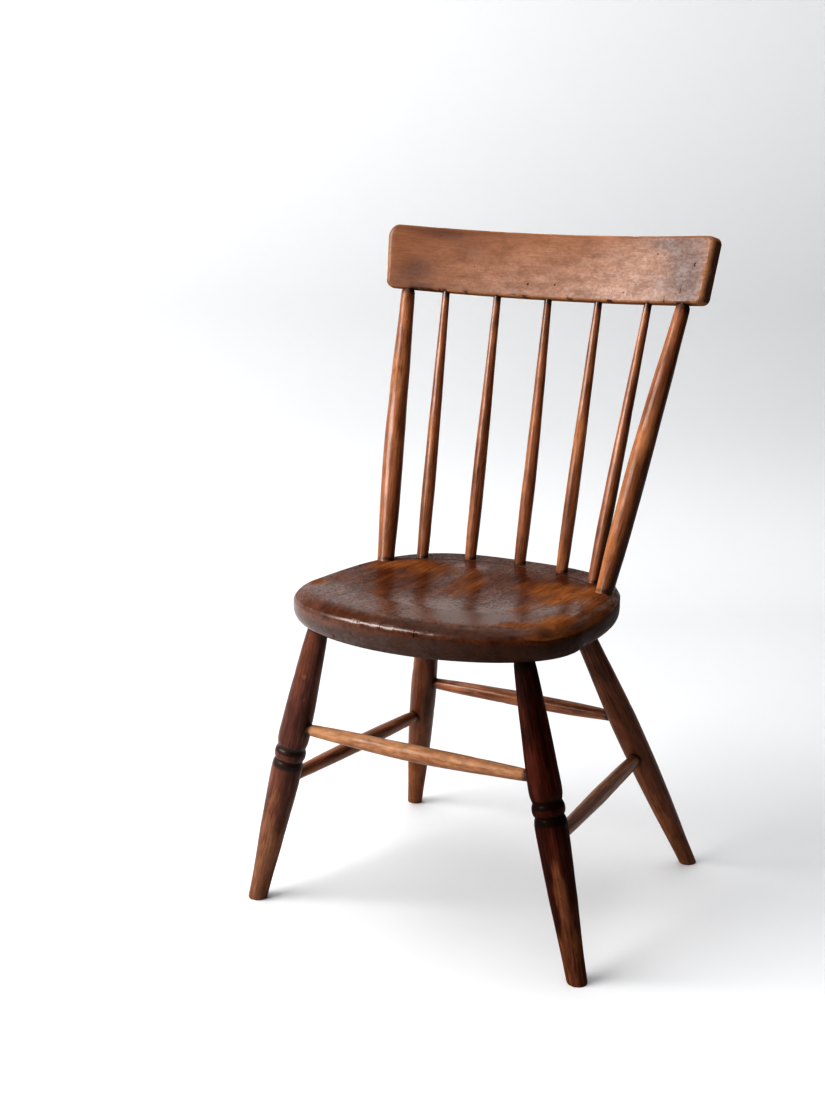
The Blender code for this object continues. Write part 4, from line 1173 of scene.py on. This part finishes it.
for node, (leg, to_bench, seat_joint, stretch_up, seed) in leg_pieces.items():
    bore(leg, leg_drills[node], "stretcher_sockets")
    joints = [to_bench @ joint for joint in leg_joints[node]]
    is_front = node.startswith("front")
    outer_front = to_bench.to_3x3() @ OUTER_FRONT
    outer_turn = math.atan2(outer_front.y, outer_front.x)
    low_wear = FRONT_LOW_WEAR if is_front else REAR_LOW_WEAR

    def grime_at(point):
        total = 0.9 * bell(point.z - seat_joint, 0.012)
        for joint in joints:
            total += bell((point - joint).length, JOINT_GRIME)
        if is_front:
            for height, size in GROOVES:
                total += 1.2 * bell(point.z / stretch_up - height, size)
        return total

    def wear_at(point):
        turn = math.atan2(point.y, point.x)
        sway = noise.noise(Vector((point.z * 14, seed * 2.0, turn * 0.8)))
        total = 0.12 + 0.26 * sway + low_wear * max(0.0, 1 - point.z / LOW_WEAR_HEIGHT)
        away = (turn - outer_turn + math.pi) % math.tau - math.pi
        for height, side, tall, wide, strength in KICKED[node]:
            total += strength * bell(point.z - height, tall) * bell(away - side, wide)
        return total

    finish_wood(leg, node, LEG_WOODS[node], to_bench, wear_at, grime_at, seed)

# %% [markdown]
# ## The seat
#
# The seat is one thick board. Its outline is nearly a half ellipse in front and squarer behind. The top
# rolls over towards the front and ends in a crisp arris with a slightly rounded edge. The side stands
# upright, and the underside is cut back. It is extruded ring by ring like a very flat turned piece: from
# the middle of the underside, out and up round the side, and back in to the middle of the top, which is
# hollowed to sit in.

# %% Sizes of the seat
SEAT_HEIGHT = 0.438
SEAT_TILT = math.radians(1.5)
SEAT_HALF_WIDTH = 0.2005
SEAT_FRONT_REACH = 0.130
SEAT_REAR_REACH = 0.252
SEAT_REAR_TAPER = 0.04
SEAT_FRONT_POWER = 2.05
SEAT_REAR_POWER = 3.2
SEAT_THICKNESS = 0.043
SEAT_POINTS = 400
FRONT_ROLL = (0.024, 0.008)
REAR_ROLL = (0.007, 0.004)
SIDE_ROLL_EXTRA = (0.008, 0.007)
ROLL_STEEPEST = math.radians(62)
UNDER_CUT = 0.007
SIDE_UNDER_CUT_EXTRA = 0.007
UNDER_CUT_HEIGHT = 0.018
HOLLOW_DEPTH = 0.007
HOLLOW_HALF_WIDTH = 0.158
HOLLOW_HALF_LENGTH = 0.108
HOLLOW_MIDDLE = 0.058
seat_bench = Matrix.Translation((0, WIDEST_LINE, SEAT_HEIGHT)) @ Matrix.Rotation(-SEAT_TILT, 4, "X")


def seat_edge(angle, inset):
    """Point of the seat's outline at an angle, moved inwards."""
    across, along = math.cos(angle), math.sin(angle)
    reach = SEAT_FRONT_REACH if along < 0 else SEAT_REAR_REACH
    power = SEAT_FRONT_POWER if along < 0 else SEAT_REAR_POWER
    radius = (abs(across / SEAT_HALF_WIDTH) ** power + abs(along / reach) ** power) ** (-1 / power)
    x, y = radius * across, radius * along
    narrowing = 1 - SEAT_REAR_TAPER * max(y, 0) / SEAT_REAR_REACH
    outward = Vector(
        (
            math.copysign(abs(x / SEAT_HALF_WIDTH) ** (power - 1) / SEAT_HALF_WIDTH, x),
            math.copysign(abs(y / reach) ** (power - 1) / reach, y),
        )
    ).normalized()
    return Vector((x * narrowing - inset * outward.x, y - inset * outward.y, 0))


def roll_at(angle):
    """Width and drop of the rolled edge at an angle."""
    front = (1 - math.sin(angle)) / 2
    side = math.cos(angle) ** 2
    sizes = zip(REAR_ROLL, FRONT_ROLL, SIDE_ROLL_EXTRA)
    return tuple(behind + (ahead - behind) * front + extra * side for behind, ahead, extra in sizes)


def sat_hollow(x, y):
    """How far the seat is hollowed out at a place."""
    far = (x / HOLLOW_HALF_WIDTH) ** 2 + ((y - HOLLOW_MIDDLE) / HOLLOW_HALF_LENGTH) ** 2
    return HOLLOW_DEPTH * max(0.0, 1 - far) ** 1.15


# %% Extrude the seat
UNDER_SHARES = (0.0, 0.2, 0.4, 0.6, 0.8, 0.94)
UNDER_STEPS = 6
SIDE_STEPS = 5
ROLL_STEPS = 14
FIELD_STEPS = 46
NICK_DEPTH = 0.0013
NICKED_AT, NICKED_WIDTH = math.radians(248), 0.45
ARRIS_DROP = 0.0026
ARRIS_INSET = 0.0014
HAND_WAVER = 0.00035


def nick_at(angle):
    """How deep the arris is nicked at an angle: most on the left of the front."""
    rough = noise.noise(Vector((math.cos(angle) * 9, math.sin(angle) * 9, 0.3)))
    rough += 0.6 * noise.noise(Vector((math.cos(angle) * 31, math.sin(angle) * 31, 4.1)))
    place = 0.55 + 0.45 * bell(angle - NICKED_AT, NICKED_WIDTH)
    return NICK_DEPTH * place * max(0.0, rough - 0.12) * 1.6


def lift(place, height):
    """A place on the seat's outline, moved up or down."""
    return place + Vector((0, 0, height))


def seat_rings():
    """Rings of the seat from the middle of its underside to the middle of its top."""
    angles = [math.tau * (index + 0.5) / SEAT_POINTS for index in range(SEAT_POINTS)]
    under = [(angle, UNDER_CUT + SIDE_UNDER_CUT_EXTRA * math.cos(angle) ** 2) for angle in angles]
    rolls = [(angle, *roll_at(angle), nick_at(angle)) for angle in angles]
    rings = []
    for share in UNDER_SHARES:
        rings.append([lift(seat_edge(angle, cut) * share, -SEAT_THICKNESS) for angle, cut in under])
    for step in range(UNDER_STEPS + 1):
        turn = math.pi / 2 * step / UNDER_STEPS
        height = UNDER_CUT_HEIGHT * (1 - math.cos(turn)) - SEAT_THICKNESS
        kept = 1 - math.sin(turn)
        rings.append([lift(seat_edge(angle, cut * kept), height) for angle, cut in under])
    low = UNDER_CUT_HEIGHT - SEAT_THICKNESS
    for step in range(1, SIDE_STEPS + 1):
        share = step / SIDE_STEPS
        ring = []
        for angle, _, drop, nick in rolls:
            height = low + (-drop - ARRIS_DROP - low) * share
            ring.append(lift(seat_edge(angle, nick * 0.5 * share**6), height))
        rings.append(ring)
    for step in range(ROLL_STEPS + 1):
        turn = ROLL_STEEPEST * (1 - step / ROLL_STEPS)
        fade = max(0.0, 1 - step / 3)
        ring = []
        for angle, width, drop, nick in rolls:
            inset = width * (1 - math.sin(turn) / math.sin(ROLL_STEEPEST))
            sink = drop * (1 - math.cos(turn)) / (1 - math.cos(ROLL_STEEPEST))
            edge = seat_edge(angle, ARRIS_INSET + inset + nick * fade)
            ring.append(lift(edge, -sink - nick * 0.4 * fade))
        rings.append(ring)
    for step in range(1, FIELD_STEPS + 1):
        share = 1 - step / FIELD_STEPS
        ring = []
        for angle, width, _, _ in rolls:
            flat = seat_edge(angle, width + ARRIS_INSET) * share
            waver = HAND_WAVER * noise.noise(Vector((flat.x * 22, flat.y * 14, 1.7)))
            ring.append(lift(flat, waver * min(1.0, step / 4) - sat_hollow(flat.x, flat.y)))
        rings.append(ring)
    return rings


seat = extrude_rings("saddled_seat", seat_rings())
print("seat:", len(seat.data.polygons), "faces")

# %% [markdown]
# Four things are cut into the seat: the scribed groove that runs through the posts and in front of the
# spindles, the sockets, a crack in the front arris with two short checks beside it, and small pits, most
# of them in a cluster on the left. The groove is cut by a thin torus, so it is a true arc with a round
# bottom. Each crack has its place, depth and width, and each pit its place.

# %% Cut the groove, the sockets, the crack and the pits
POST_PLACE = (0.1644, 0.1449)
GROOVE_AT_MIDDLE = 0.2121
GROOVE_WIDTH = 0.0044
GROOVE_DEPTH = 0.0013
rise = GROOVE_AT_MIDDLE - POST_PLACE[1]
groove_radius = (POST_PLACE[0] ** 2 + rise**2) / (2 * rise)
groove_middle = GROOVE_AT_MIDDLE - groove_radius
tube = GROOVE_WIDTH / 2
bpy.ops.mesh.primitive_torus_add(
    major_segments=320,
    minor_segments=12,
    major_radius=groove_radius,
    minor_radius=tube,
    location=(0, groove_middle, tube - GROOVE_DEPTH),
)
take_out(seat, [bpy.context.object], "scribed_groove")
CRACKS = (
    (0.0385, -0.1275, 0.010, 0.0007),
    (-0.0080, -0.1290, 0.005, 0.0005),
    (-0.0420, -0.1262, 0.005, 0.0005),
)
CRACK_HEIGHT = 0.014
CRACK_STRETCH = (1.0, 14.0, 1.0)
PITS = (
    (-0.141, -0.030), (-0.138, -0.024), (-0.135, -0.029), (-0.134, -0.020), (-0.131, -0.026),
    (-0.129, -0.017), (-0.127, -0.023), (-0.137, -0.034), (-0.125, -0.014), (-0.143, -0.022),
    (-0.132, -0.036), (-0.046, 0.113), (-0.043, 0.108), (-0.049, 0.104), (0.021, 0.055),
)
SMALLEST_PIT, PIT_SPREAD = 0.0007, 0.0012
sharp_tools = []
for x, y, depth, width in CRACKS:
    bpy.ops.mesh.primitive_cone_add(vertices=4, radius1=width, radius2=width * 0.3, depth=CRACK_HEIGHT)
    wedge = bpy.context.object
    wedge.location = (x, y, -depth)
    wedge.scale = CRACK_STRETCH
    bpy.ops.object.transform_apply(location=True, rotation=True, scale=True)
    sharp_tools.append(wedge)
for index, (x, y) in enumerate(PITS):
    size = SMALLEST_PIT + PIT_SPREAD * abs(noise.noise(Vector((index * 3.1, 0.4, 0.2))))
    height = -sat_hollow(x, y)
    bpy.ops.mesh.primitive_ico_sphere_add(subdivisions=2, radius=size, location=(x, y, height))
    sharp_tools.append(bpy.context.object)
take_out(seat, sharp_tools, "cracks_and_pits")
lay_in_place(seat, seat_bench)
bore(seat, socket_drills["seat"], "stick_sockets")

# %% [markdown]
# Where the seat is sat on, the dark varnish has gone to orange: behind, on the left, and in a broad band
# on the right that runs round to the front. Behind the groove it stayed dark, and so did the side and
# most of the rolled front edge. The side and underside are also greyed, partly by dust and partly by a
# painted reflection of the white floor. Each spot on the top has its place across and along the seat, its
# two sizes, and its strength. The worn corner is placed in height too.

# %% Wear, grime and shine of the seat
SEAT_WEAR = (
    ((-0.095, 0.135), (0.060, 0.040), 0.22),
    ((-0.110, 0.150), (0.045, 0.034), 0.42),
    ((-0.165, 0.122), (0.030, 0.036), 0.40),
    ((-0.105, 0.070), (0.040, 0.050), 0.26),
    ((-0.088, -0.014), (0.024, 0.026), 0.34),
    ((-0.150, 0.020), (0.036, 0.044), 0.26),
    ((-0.175, -0.017), (0.014, 0.018), 0.50),
    ((-0.010, 0.100), (0.032, 0.056), 0.36),
    ((0.001, 0.042), (0.026, 0.034), 0.26),
    ((0.083, 0.122), (0.034, 0.040), 0.40),
    ((0.140, 0.132), (0.042, 0.042), 0.52),
    ((0.130, 0.068), (0.036, 0.046), 0.44),
    ((0.110, 0.002), (0.034, 0.030), 0.30),
    ((0.186, 0.060), (0.020, 0.070), 0.46),
    ((0.182, -0.022), (0.026, 0.034), 0.60),
    ((0.141, -0.069), (0.036, 0.024), 0.54),
    ((0.050, -0.105), (0.034, 0.014), 0.30),
    ((-0.060, -0.104), (0.050, 0.012), 0.16),
)
SEAT_DARK = (
    ((-0.059, 0.174), (0.026, 0.028), 0.30),
    ((0.033, 0.166), (0.018, 0.042), 0.50),
    ((0.070, 0.020), (0.022, 0.032), 0.30),
    ((0.149, 0.026), (0.018, 0.012), 0.35),
    ((-0.152, 0.050), (0.026, 0.032), 0.22),
    ((0.015, -0.108), (0.036, 0.012), 0.45),
    ((0.177, -0.056), (0.014, 0.012), 0.45),
    ((-0.046, 0.114), (0.006, 0.008), 0.60),
    ((-0.134, -0.024), (0.010, 0.010), 0.35),
)
CORNER_WORN = (
    ((0.176, -0.014, -0.050), (0.024, 0.012, 0.036), 0.80),
    ((0.199, -0.012, 0.030), (0.010, 0.006, 0.070), 0.50),
)
SEAT_DULL = (
    ((-0.125, 0.110), (0.040, 0.040), 0.36),
    ((-0.080, 0.060), (0.020, 0.050), 0.20),
    ((0.080, 0.150), (0.060, 0.040), 0.20),
)
SEAT_GLOW = (
    ((0.090, -0.060), (0.070, 0.036), 0.70),
    ((0.180, 0.020), (0.030, 0.060), 0.25),
    ((0.150, 0.190), (0.040, 0.018), 0.90),
    ((-0.045, 0.115), (0.018, 0.030), 0.40),
    ((-0.150, -0.035), (0.040, 0.034), 0.70),
    ((0.012, 0.000), (0.026, 0.050), 0.25),
    ((-0.050, 0.170), (0.030, 0.016), 0.60),
)


def from_rim(x, y):
    """Rough distance of a place on the seat from the rim of its outline."""
    reach = SEAT_FRONT_REACH if y < 0 else SEAT_REAR_REACH
    power = SEAT_FRONT_POWER if y < 0 else SEAT_REAR_POWER
    shares = (abs(x) / SEAT_HALF_WIDTH, abs(y) / reach)
    radius = (shares[0] ** power + shares[1] ** power) ** (1 / power)
    pull = (shares[0] ** (power - 1) / SEAT_HALF_WIDTH, shares[1] ** (power - 1) / reach)
    return (1 - radius) * radius ** (power - 1) / math.hypot(*pull) if radius else SEAT_FRONT_REACH


def seat_to_bench(point):
    """Plank coordinates of the seat: Z runs along the grain, from front to back."""
    local = seat_bench.inverted() @ point
    return Vector((local.x, local.z, local.y))


def below_arris(point):
    """How far a place on the seat lies below the arris beside it. It is -1 in the middle of the top."""
    if point.y > -0.016 and from_rim(point.x, point.z) > 0.020:
        return -1.0
    return -point.y - roll_at(math.atan2(point.z, point.x))[1]


def under_arris(point):
    """The upper part of the side, where the varnish is thickest."""
    below = below_arris(point)
    return share_between(below, 0.0016, 0.0028) * (1 - share_between(below, 0.0080, 0.0110))


def rolled_front(point):
    """The rolled edge along the front, down to the arris, with a ragged inner border."""
    if point.z > 0.05:
        return 0.0
    ragged = 0.004 * noise.noise(Vector((point.x * 45, point.z * 45, 2.2)))
    near = 1 - share_between(from_rim(point.x, point.z) + ragged, 0.009, 0.022)
    near *= 1 - 0.7 * share_between(-point.x, 0.09, 0.17) - 0.42 * share_between(point.x, 0.11, 0.16)
    return near * share_between(-point.z, -0.05, 0.0)


def seat_wear(point):
    """Rubbing of the seat: its spots, and its worn corner. The rolled front is rubbed least."""
    spots = spots_at((point.x, point.z), SEAT_WEAR)
    on_top = 1 - share_between(below_arris(point), 0.0, 0.0020)
    rolled = rolled_front(point)
    corner = spots_at(point, CORNER_WORN)
    under = 0.20 * under_arris(point)
    spots *= (0.20 + 0.80 * on_top) * (1 - 0.6 * rolled)
    return 0.22 * on_top - 0.36 * rolled - 0.06 - under + corner + spots


def seat_grime(point):
    """Darkening of the seat: spots, behind and in the groove, the rolled front, and a grey side and
    underside that is partly dust and partly a painted reflection.
    """
    behind = math.hypot(point.x, point.z - groove_middle) - groove_radius
    total = spots_at((point.x, point.z), SEAT_DARK) if point.y > -0.012 else 0.0
    if behind > 0 and point.y > -0.006:
        total += 0.25
    total += 0.5 * bell(behind, 0.003)
    below = below_arris(point)
    if below < 0.001:
        total += (0.36 + 0.20 * share_between(point.x, -0.04, 0.06)) * rolled_front(point)
    # The side and underside turn grey brown here: partly dust, partly a painted reflection of the white
    # floor.
    side_starts = 0.0095 - 0.0060 * share_between(point.x, -0.02, 0.08)
    return total + 0.10 * under_arris(point) + 0.65 * share_between(below, side_starts, side_starts + 0.005)


def seat_polish(point):
    """Shine of the seat: less on the right, and on its side only towards the left."""
    below = below_arris(point)
    side = 2.3 - 2.0 * share_between(point.x, -0.20, 0.12) ** 0.7
    if below > 0.0090:
        return side
    if below > ARRIS_DROP:
        upper = 1.7 - 1.5 * share_between(point.x, -0.17, 0.02)
        return side + (upper - side) * share_between(0.0090 - below, 0.0, 0.004)
    if below > -0.0010 and point.z < 0:
        return 2.6 - 2.0 * share_between(point.x, 0.03, 0.10)
    dull = spots_at((point.x, point.z), SEAT_DULL)
    rear = share_between(point.z - 0.69 * point.x, -0.03, 0.08)
    glow = spots_at((point.x, point.z), SEAT_GLOW)
    shine = 1.15 - 0.60 * rear + glow - 0.25 * share_between(point.x, 0.05, 0.15) * rear - dull
    return shine * (1 - 0.75 * rolled_front(point))


finish_wood(seat, "seat", seat_wood, seat_to_bench, seat_wear, seat_grime, 31, seat_polish)

# %% [markdown]
# ## The crest rail
#
# The rail is a board with rounded corners, bent to a shallow arc and leaned back. Its outline is drawn
# flat first, as a row of points round the board. The rings run from a line along the middle of the front
# face, out over the eased edge, across the thickness and back in on the rear face. Then every point is
# bent round the arc. The two ends are rounded more than the long edges, as hands have worn them, and the
# lower front edge is chipped, so its ring is pushed in here and there.

# %% Sizes of the crest rail
RAIL_HEIGHT = 0.088
RAIL_THICKNESS = 0.020
RAIL_RADIUS = 0.90
RAIL_TOP_HALF = 0.2475
RAIL_BOTTOM_HALF = 0.2395
RAIL_TOP_LEFT = 0.018
RAIL_TOP_RIGHT = 0.011
RAIL_BOTTOM = 0.0085
SMALLEST_CORNER = 0.0008
RAIL_EASE = 0.0028
RAIL_RAKE = math.radians(15.3)
RAIL_BEHIND_WIDEST_LINE = 0.301
RAIL_BOTTOM_HEIGHT = 0.786
RAIL_LONG_STEPS = 150
RAIL_CORNER_STEPS = 9
RAIL_END_STEPS = 10
rail_place = Vector((0, WIDEST_LINE + RAIL_BEHIND_WIDEST_LINE, RAIL_BOTTOM_HEIGHT))
rail_bench = Matrix.Translation(rail_place) @ Matrix.Rotation(-RAIL_RAKE, 4, "X")


def rail_half(up):
    """Half the board's length at a height: it is longer along the top."""
    return RAIL_BOTTOM_HALF + (RAIL_TOP_HALF - RAIL_BOTTOM_HALF) * up / RAIL_HEIGHT


def rail_outline(inset):
    """Points round the board, clockwise from the middle of its left end, moved inwards."""
    low, middle, high = inset, RAIL_HEIGHT / 2, RAIL_HEIGHT - inset
    points = []

    def corner(side, up_edge, radius, start_turn):
        radius = max(radius - inset, SMALLEST_CORNER)
        for step in range(RAIL_CORNER_STEPS + 1):
            turn = start_turn + (math.pi / 2) * step / RAIL_CORNER_STEPS
            up = up_edge + math.copysign(radius, RAIL_HEIGHT / 2 - up_edge) + radius * math.sin(turn)
            reach = rail_half(up) - inset - radius
            points.append((side * reach - radius * math.cos(turn), up))

    def end_run(side, start, stop, steps):
        for step in steps:
            up = start + (stop - start) * step / RAIL_END_STEPS
            points.append((side * (rail_half(up) - inset), up))

    def long_run(stop, up):
        start = points[-1][0]
        for step in range(1, RAIL_LONG_STEPS):
            points.append((start + (stop - start) * step / RAIL_LONG_STEPS, up))

    end_run(-1, middle, high - RAIL_TOP_LEFT, range(RAIL_END_STEPS))
    corner(-1, high, RAIL_TOP_LEFT, 0.0)
    long_run(rail_half(high) - inset - max(RAIL_TOP_RIGHT - inset, SMALLEST_CORNER), high)
    corner(1, high, RAIL_TOP_RIGHT, math.pi / 2)
    end_run(1, high - RAIL_TOP_RIGHT, middle, range(1, RAIL_END_STEPS + 1))
    end_run(1, middle, low + RAIL_BOTTOM, range(1, RAIL_END_STEPS))
    corner(1, low, RAIL_BOTTOM, math.pi)
    long_run(-points[-1][0], low)
    corner(-1, low, RAIL_BOTTOM, math.pi * 1.5)
    end_run(-1, low + RAIL_BOTTOM, middle, range(1, RAIL_END_STEPS))
    return points


print("rail outline:", len(rail_outline(0.0)), "points")

# %% Extrude and bend the rail
FACE_STEPS = 16
EASE_STEPS = 5
THICKNESS_STEPS = 4
SPINE_HALF = 0.232
CHIP_DEPTH = 0.0028
CHIPPED_FROM = 0.16
CHIPS_ELSEWHERE = 0.30
END_EASE_EXTRA = 0.0028
END_EASE_ZONE = 0.014


def bend(along, up, out):
    """Bends a place on the flat board round the rail's arc."""
    turn = along / RAIL_RADIUS
    reach = RAIL_RADIUS - out
    return Vector((reach * math.sin(turn), reach * math.cos(turn) - RAIL_RADIUS, up))


def unbend(point):
    """Plank coordinates of a bent place: Z runs along the board."""
    turn = math.atan2(point.x, point.y + RAIL_RADIUS)
    reach = math.hypot(point.x, point.y + RAIL_RADIUS)
    return Vector((point.z, RAIL_RADIUS - reach, turn * RAIL_RADIUS))


def chip_at(along, up, out):
    """Depth of the chips in the rail's edges: strongest low on the front."""
    rough = noise.noise(Vector((along * 55, up * 40, 0.7)))
    rough += 0.5 * noise.noise(Vector((along * 170, up * 90, 3.1)))
    low_front = up < RAIL_HEIGHT / 4 and out > 0
    return CHIP_DEPTH * (1.0 if low_front else CHIPS_ELSEWHERE) * max(0.0, rough - CHIPPED_FROM)


def ease_end(along, up, out, turn):
    """Rounds the board more at its two ends: turn runs from 0 on the face to a right angle on the edge."""
    half = rail_half(up)
    near = share_between(abs(along), half - END_EASE_ZONE, half - END_EASE_ZONE / 3)
    extra = END_EASE_EXTRA * near * near * (3 - 2 * near)
    inward = math.copysign(extra * (1 - math.sin(turn)), along)
    return (along - inward, up, out - extra * (1 - math.cos(turn)))


def flat_rings():
    """Rings of the flat board as (along, up, out) places."""
    face = [ease_end(along, up, 0, 0)[:2] for along, up in rail_outline(RAIL_EASE)]
    count = len(face)
    middle = RAIL_HEIGHT / 2
    half = RAIL_THICKNESS / 2
    spine = []
    for index, (along, _) in enumerate(face):
        across = face[(count - index) % count][0]
        spine.append(max(-SPINE_HALF, min(SPINE_HALF, (along + across) / 2)))
    rings = []
    for step in range(FACE_STEPS + 1):
        share = (step / FACE_STEPS) ** 0.8
        ring = []
        for inner, (along, up) in zip(spine, face):
            ring.append((inner + (along - inner) * share, middle + (up - middle) * share, half))
        rings.append(ring)
    for step in range(1, EASE_STEPS + 1):
        turn = math.pi / 2 * step / EASE_STEPS
        out = half - RAIL_EASE * (1 - math.cos(turn))
        ring = []
        for along, up in rail_outline(RAIL_EASE * (1 - math.sin(turn))):
            bite = chip_at(along, up, out)
            inward = 1 if up < middle else -1
            shrink = 1 - bite / RAIL_TOP_HALF
            ring.append(ease_end(along * shrink, up + inward * bite * 0.8, out - bite * 0.6, turn))
        rings.append(ring)
    for step in range(1, THICKNESS_STEPS):
        level = (half - RAIL_EASE) * (1 - 2 * step / THICKNESS_STEPS)
        ring = []
        for along, up in rail_outline(0.0):
            out = ease_end(along, up, half - RAIL_EASE, math.pi / 2)[2]
            ring.append((along, up, min(level, out)))
        rings.append(ring)
    back = [[(along, up, -out) for along, up, out in ring] for ring in rings[: FACE_STEPS + 1]]
    for step in range(EASE_STEPS + 1):
        turn = math.pi / 2 * (1 - step / EASE_STEPS)
        outline = rail_outline(RAIL_EASE * (1 - math.sin(turn)))
        out = -half + RAIL_EASE * (1 - math.cos(turn))
        rings.append([(along, up, out) for along, up in outline])
    return rings + back[-2::-1]


rail = extrude_rings("bent_crest_rail", [[bend(*place) for place in ring] for ring in flat_rings()])
print("rail:", len(rail.data.polygons), "faces")

# %% [markdown]
# A few marks of long use are cut in: a small nail hole on the right, dents near the lower edge and on
# the face, a nick through that edge, and a hairline crack at the right. Each has its place along the
# board and up it, its size, and its height.

# %% Cut the rail's marks and sockets
MARKS = (
    (0.163, 0.0642, 0.0011, 1.6),
    (-0.0287, 0.0182, 0.0017, 1.0),
    (0.0122, 0.0189, 0.0015, 0.9),
    (0.2225, 0.0500, 0.0013, 2.6),
    (0.118, 0.0125, 0.0011, 1.0),
    (-0.1120, 0.0370, 0.0010, 0.9),
)
NICKS = ((0.1814, 0.0040, 0.0007, 0.0100), (0.2056, 0.0190, 0.0004, 0.0120))
NICK_LEAN = math.radians(8)
rail_tools = []
for along, up, size, tall in MARKS:
    place = bend(along, up, RAIL_THICKNESS / 2)
    bpy.ops.mesh.primitive_ico_sphere_add(subdivisions=2, radius=size, location=place)
    mark = bpy.context.object
    mark.scale = (1.0, 0.8, tall)
    bpy.ops.object.transform_apply(location=False, rotation=False, scale=True)
    rail_tools.append(mark)
for along, up, width, tall in NICKS:
    bpy.ops.mesh.primitive_cone_add(vertices=4, radius1=width, radius2=width * 0.4, depth=tall)
    slit = bpy.context.object
    slit.location = bend(along, up, RAIL_THICKNESS / 2)
    slit.rotation_euler = (0, NICK_LEAN, -along / RAIL_RADIUS)
    slit.scale = (1.0, 2.0, 1.0)
    bpy.ops.object.transform_apply(location=False, rotation=True, scale=True)
    rail_tools.append(slit)
take_out(rail, rail_tools, "marks")
lay_in_place(rail, rail_bench)
bore(rail, socket_drills["crest_rail"], "stick_sockets")

# %% [markdown]
# The rail's edges are worn pale, most at its right end, whose arris is also lightened a little as a painted
# highlight. Dull smudges lie on its face, placed up the board and along it, and its left half is a little
# darker. The varnish is fullest towards the right end.

# %% Wear, grime and shine of the rail
RAIL_SMUDGES = (
    ((0.026, -0.200), (0.022, 0.030), 0.50),
    ((0.080, -0.165), (0.010, 0.040), 0.30),
    ((0.060, -0.122), (0.015, 0.030), 0.22),
    ((0.076, 0.170), (0.008, 0.034), 0.50),
    ((0.056, 0.205), (0.024, 0.034), 0.50),
    ((0.024, 0.214), (0.020, 0.030), 0.52),
    ((0.066, 0.070), (0.004, 0.050), 0.32),
    ((0.058, 0.115), (0.004, 0.035), 0.34),
    ((0.024, 0.150), (0.012, 0.045), 0.28),
    ((0.017, -0.020), (0.004, 0.025), 0.25),
)
RAIL_END_WORN = (
    ((0.042, 0.006, 0.2440), (0.010, 0.006, 0.01), 0.8),
    ((0.012, 0.008, 0.2410), (0.010, 0.004, 0.01), 0.7),
    ((0.080, 0.008, 0.2460), (0.012, 0.004, 0.01), 0.6),
)


def rail_to_bench(point):
    """Plank coordinates of the rail: Z runs along the board."""
    return unbend(rail_bench.inverted() @ point)


def rail_wear_and_highlight(point):
    """Rubbing of the rail: its edges, most at the right end, and its middle, with a little painted highlight
    on the right end's arris.
    """
    up, _, along = point
    from_end = rail_half(up) - abs(along)
    from_edge = min(up, RAIL_HEIGHT - up, max(from_end, 0))
    rough = 0.5 + noise.noise(Vector((along * 90, up * 60, 0.4)))
    edge = 0.95 * bell(from_edge, 0.0026) + 0.50 * rough * bell(from_end, 0.0065)
    if along > 0:
        # This lightens the right end's arris a little more: a painted highlight.
        edge += 0.06 * bell(from_end - 0.004, 0.0045)
        edge += 0.8 * spots_at((up, 0.006, along), RAIL_END_WORN)
        edge *= 1 - 0.35 * bell(from_end, 0.0065)
    return 0.08 + edge + 0.26 * bell(along - 0.03, 0.12) * bell(up - 0.045, 0.030)


def rail_grime(point):
    """Darkening of the rail: smudges on its face, darker edges and end faces, a darker left half and top
    left, and a darker right end.
    """
    up, out, along = point
    total = spots_at((up, along), RAIL_SMUDGES) if out > 0 else 0.25
    if up < RAIL_HEIGHT / 4:
        total += 0.9 * min(chip_at(along, up, out) / (CHIP_DEPTH * 0.35), 1.0) * bell(up, 0.0050)
    if abs(along) > rail_half(up) - 0.0012:
        total += (0.85 - spots_at(point, RAIL_END_WORN)) * share_between(-out, -0.006, -0.002)
    elif out > 0:
        total += 0.14 * bell(min(up, RAIL_HEIGHT - up) - 0.006, 0.005)
    total += 0.18 * share_between(-along, -0.02, 0.18)
    total += 0.14 * share_between(up, 0.050, 0.085) * share_between(-along, 0.0, 0.10)
    total += 0.30 * share_between(along, 0.13, 0.21) * share_between(rail_half(up) - along, 0.004, 0.012)
    return total


def rail_polish(point):
    """Shine of the rail: the varnish is fullest towards the right end."""
    up, along = point.x, point.z
    shine = 0.55 + 0.35 * share_between(along, -0.24, 0.0) + 0.84 * share_between(along, 0.02, 0.15)
    left_end = 1.6 * share_between(-along, 0.234, 0.240)
    slope = 1.35 - 1.10 * share_between(along, 0.06, 0.18)
    return shine * (1.10 + slope * (0.45 - up / RAIL_HEIGHT)) + left_end


finish_wood(
    rail, "crest_rail", rail_wood, rail_to_bench, rail_wear_and_highlight, rail_grime, 32, rail_polish
)
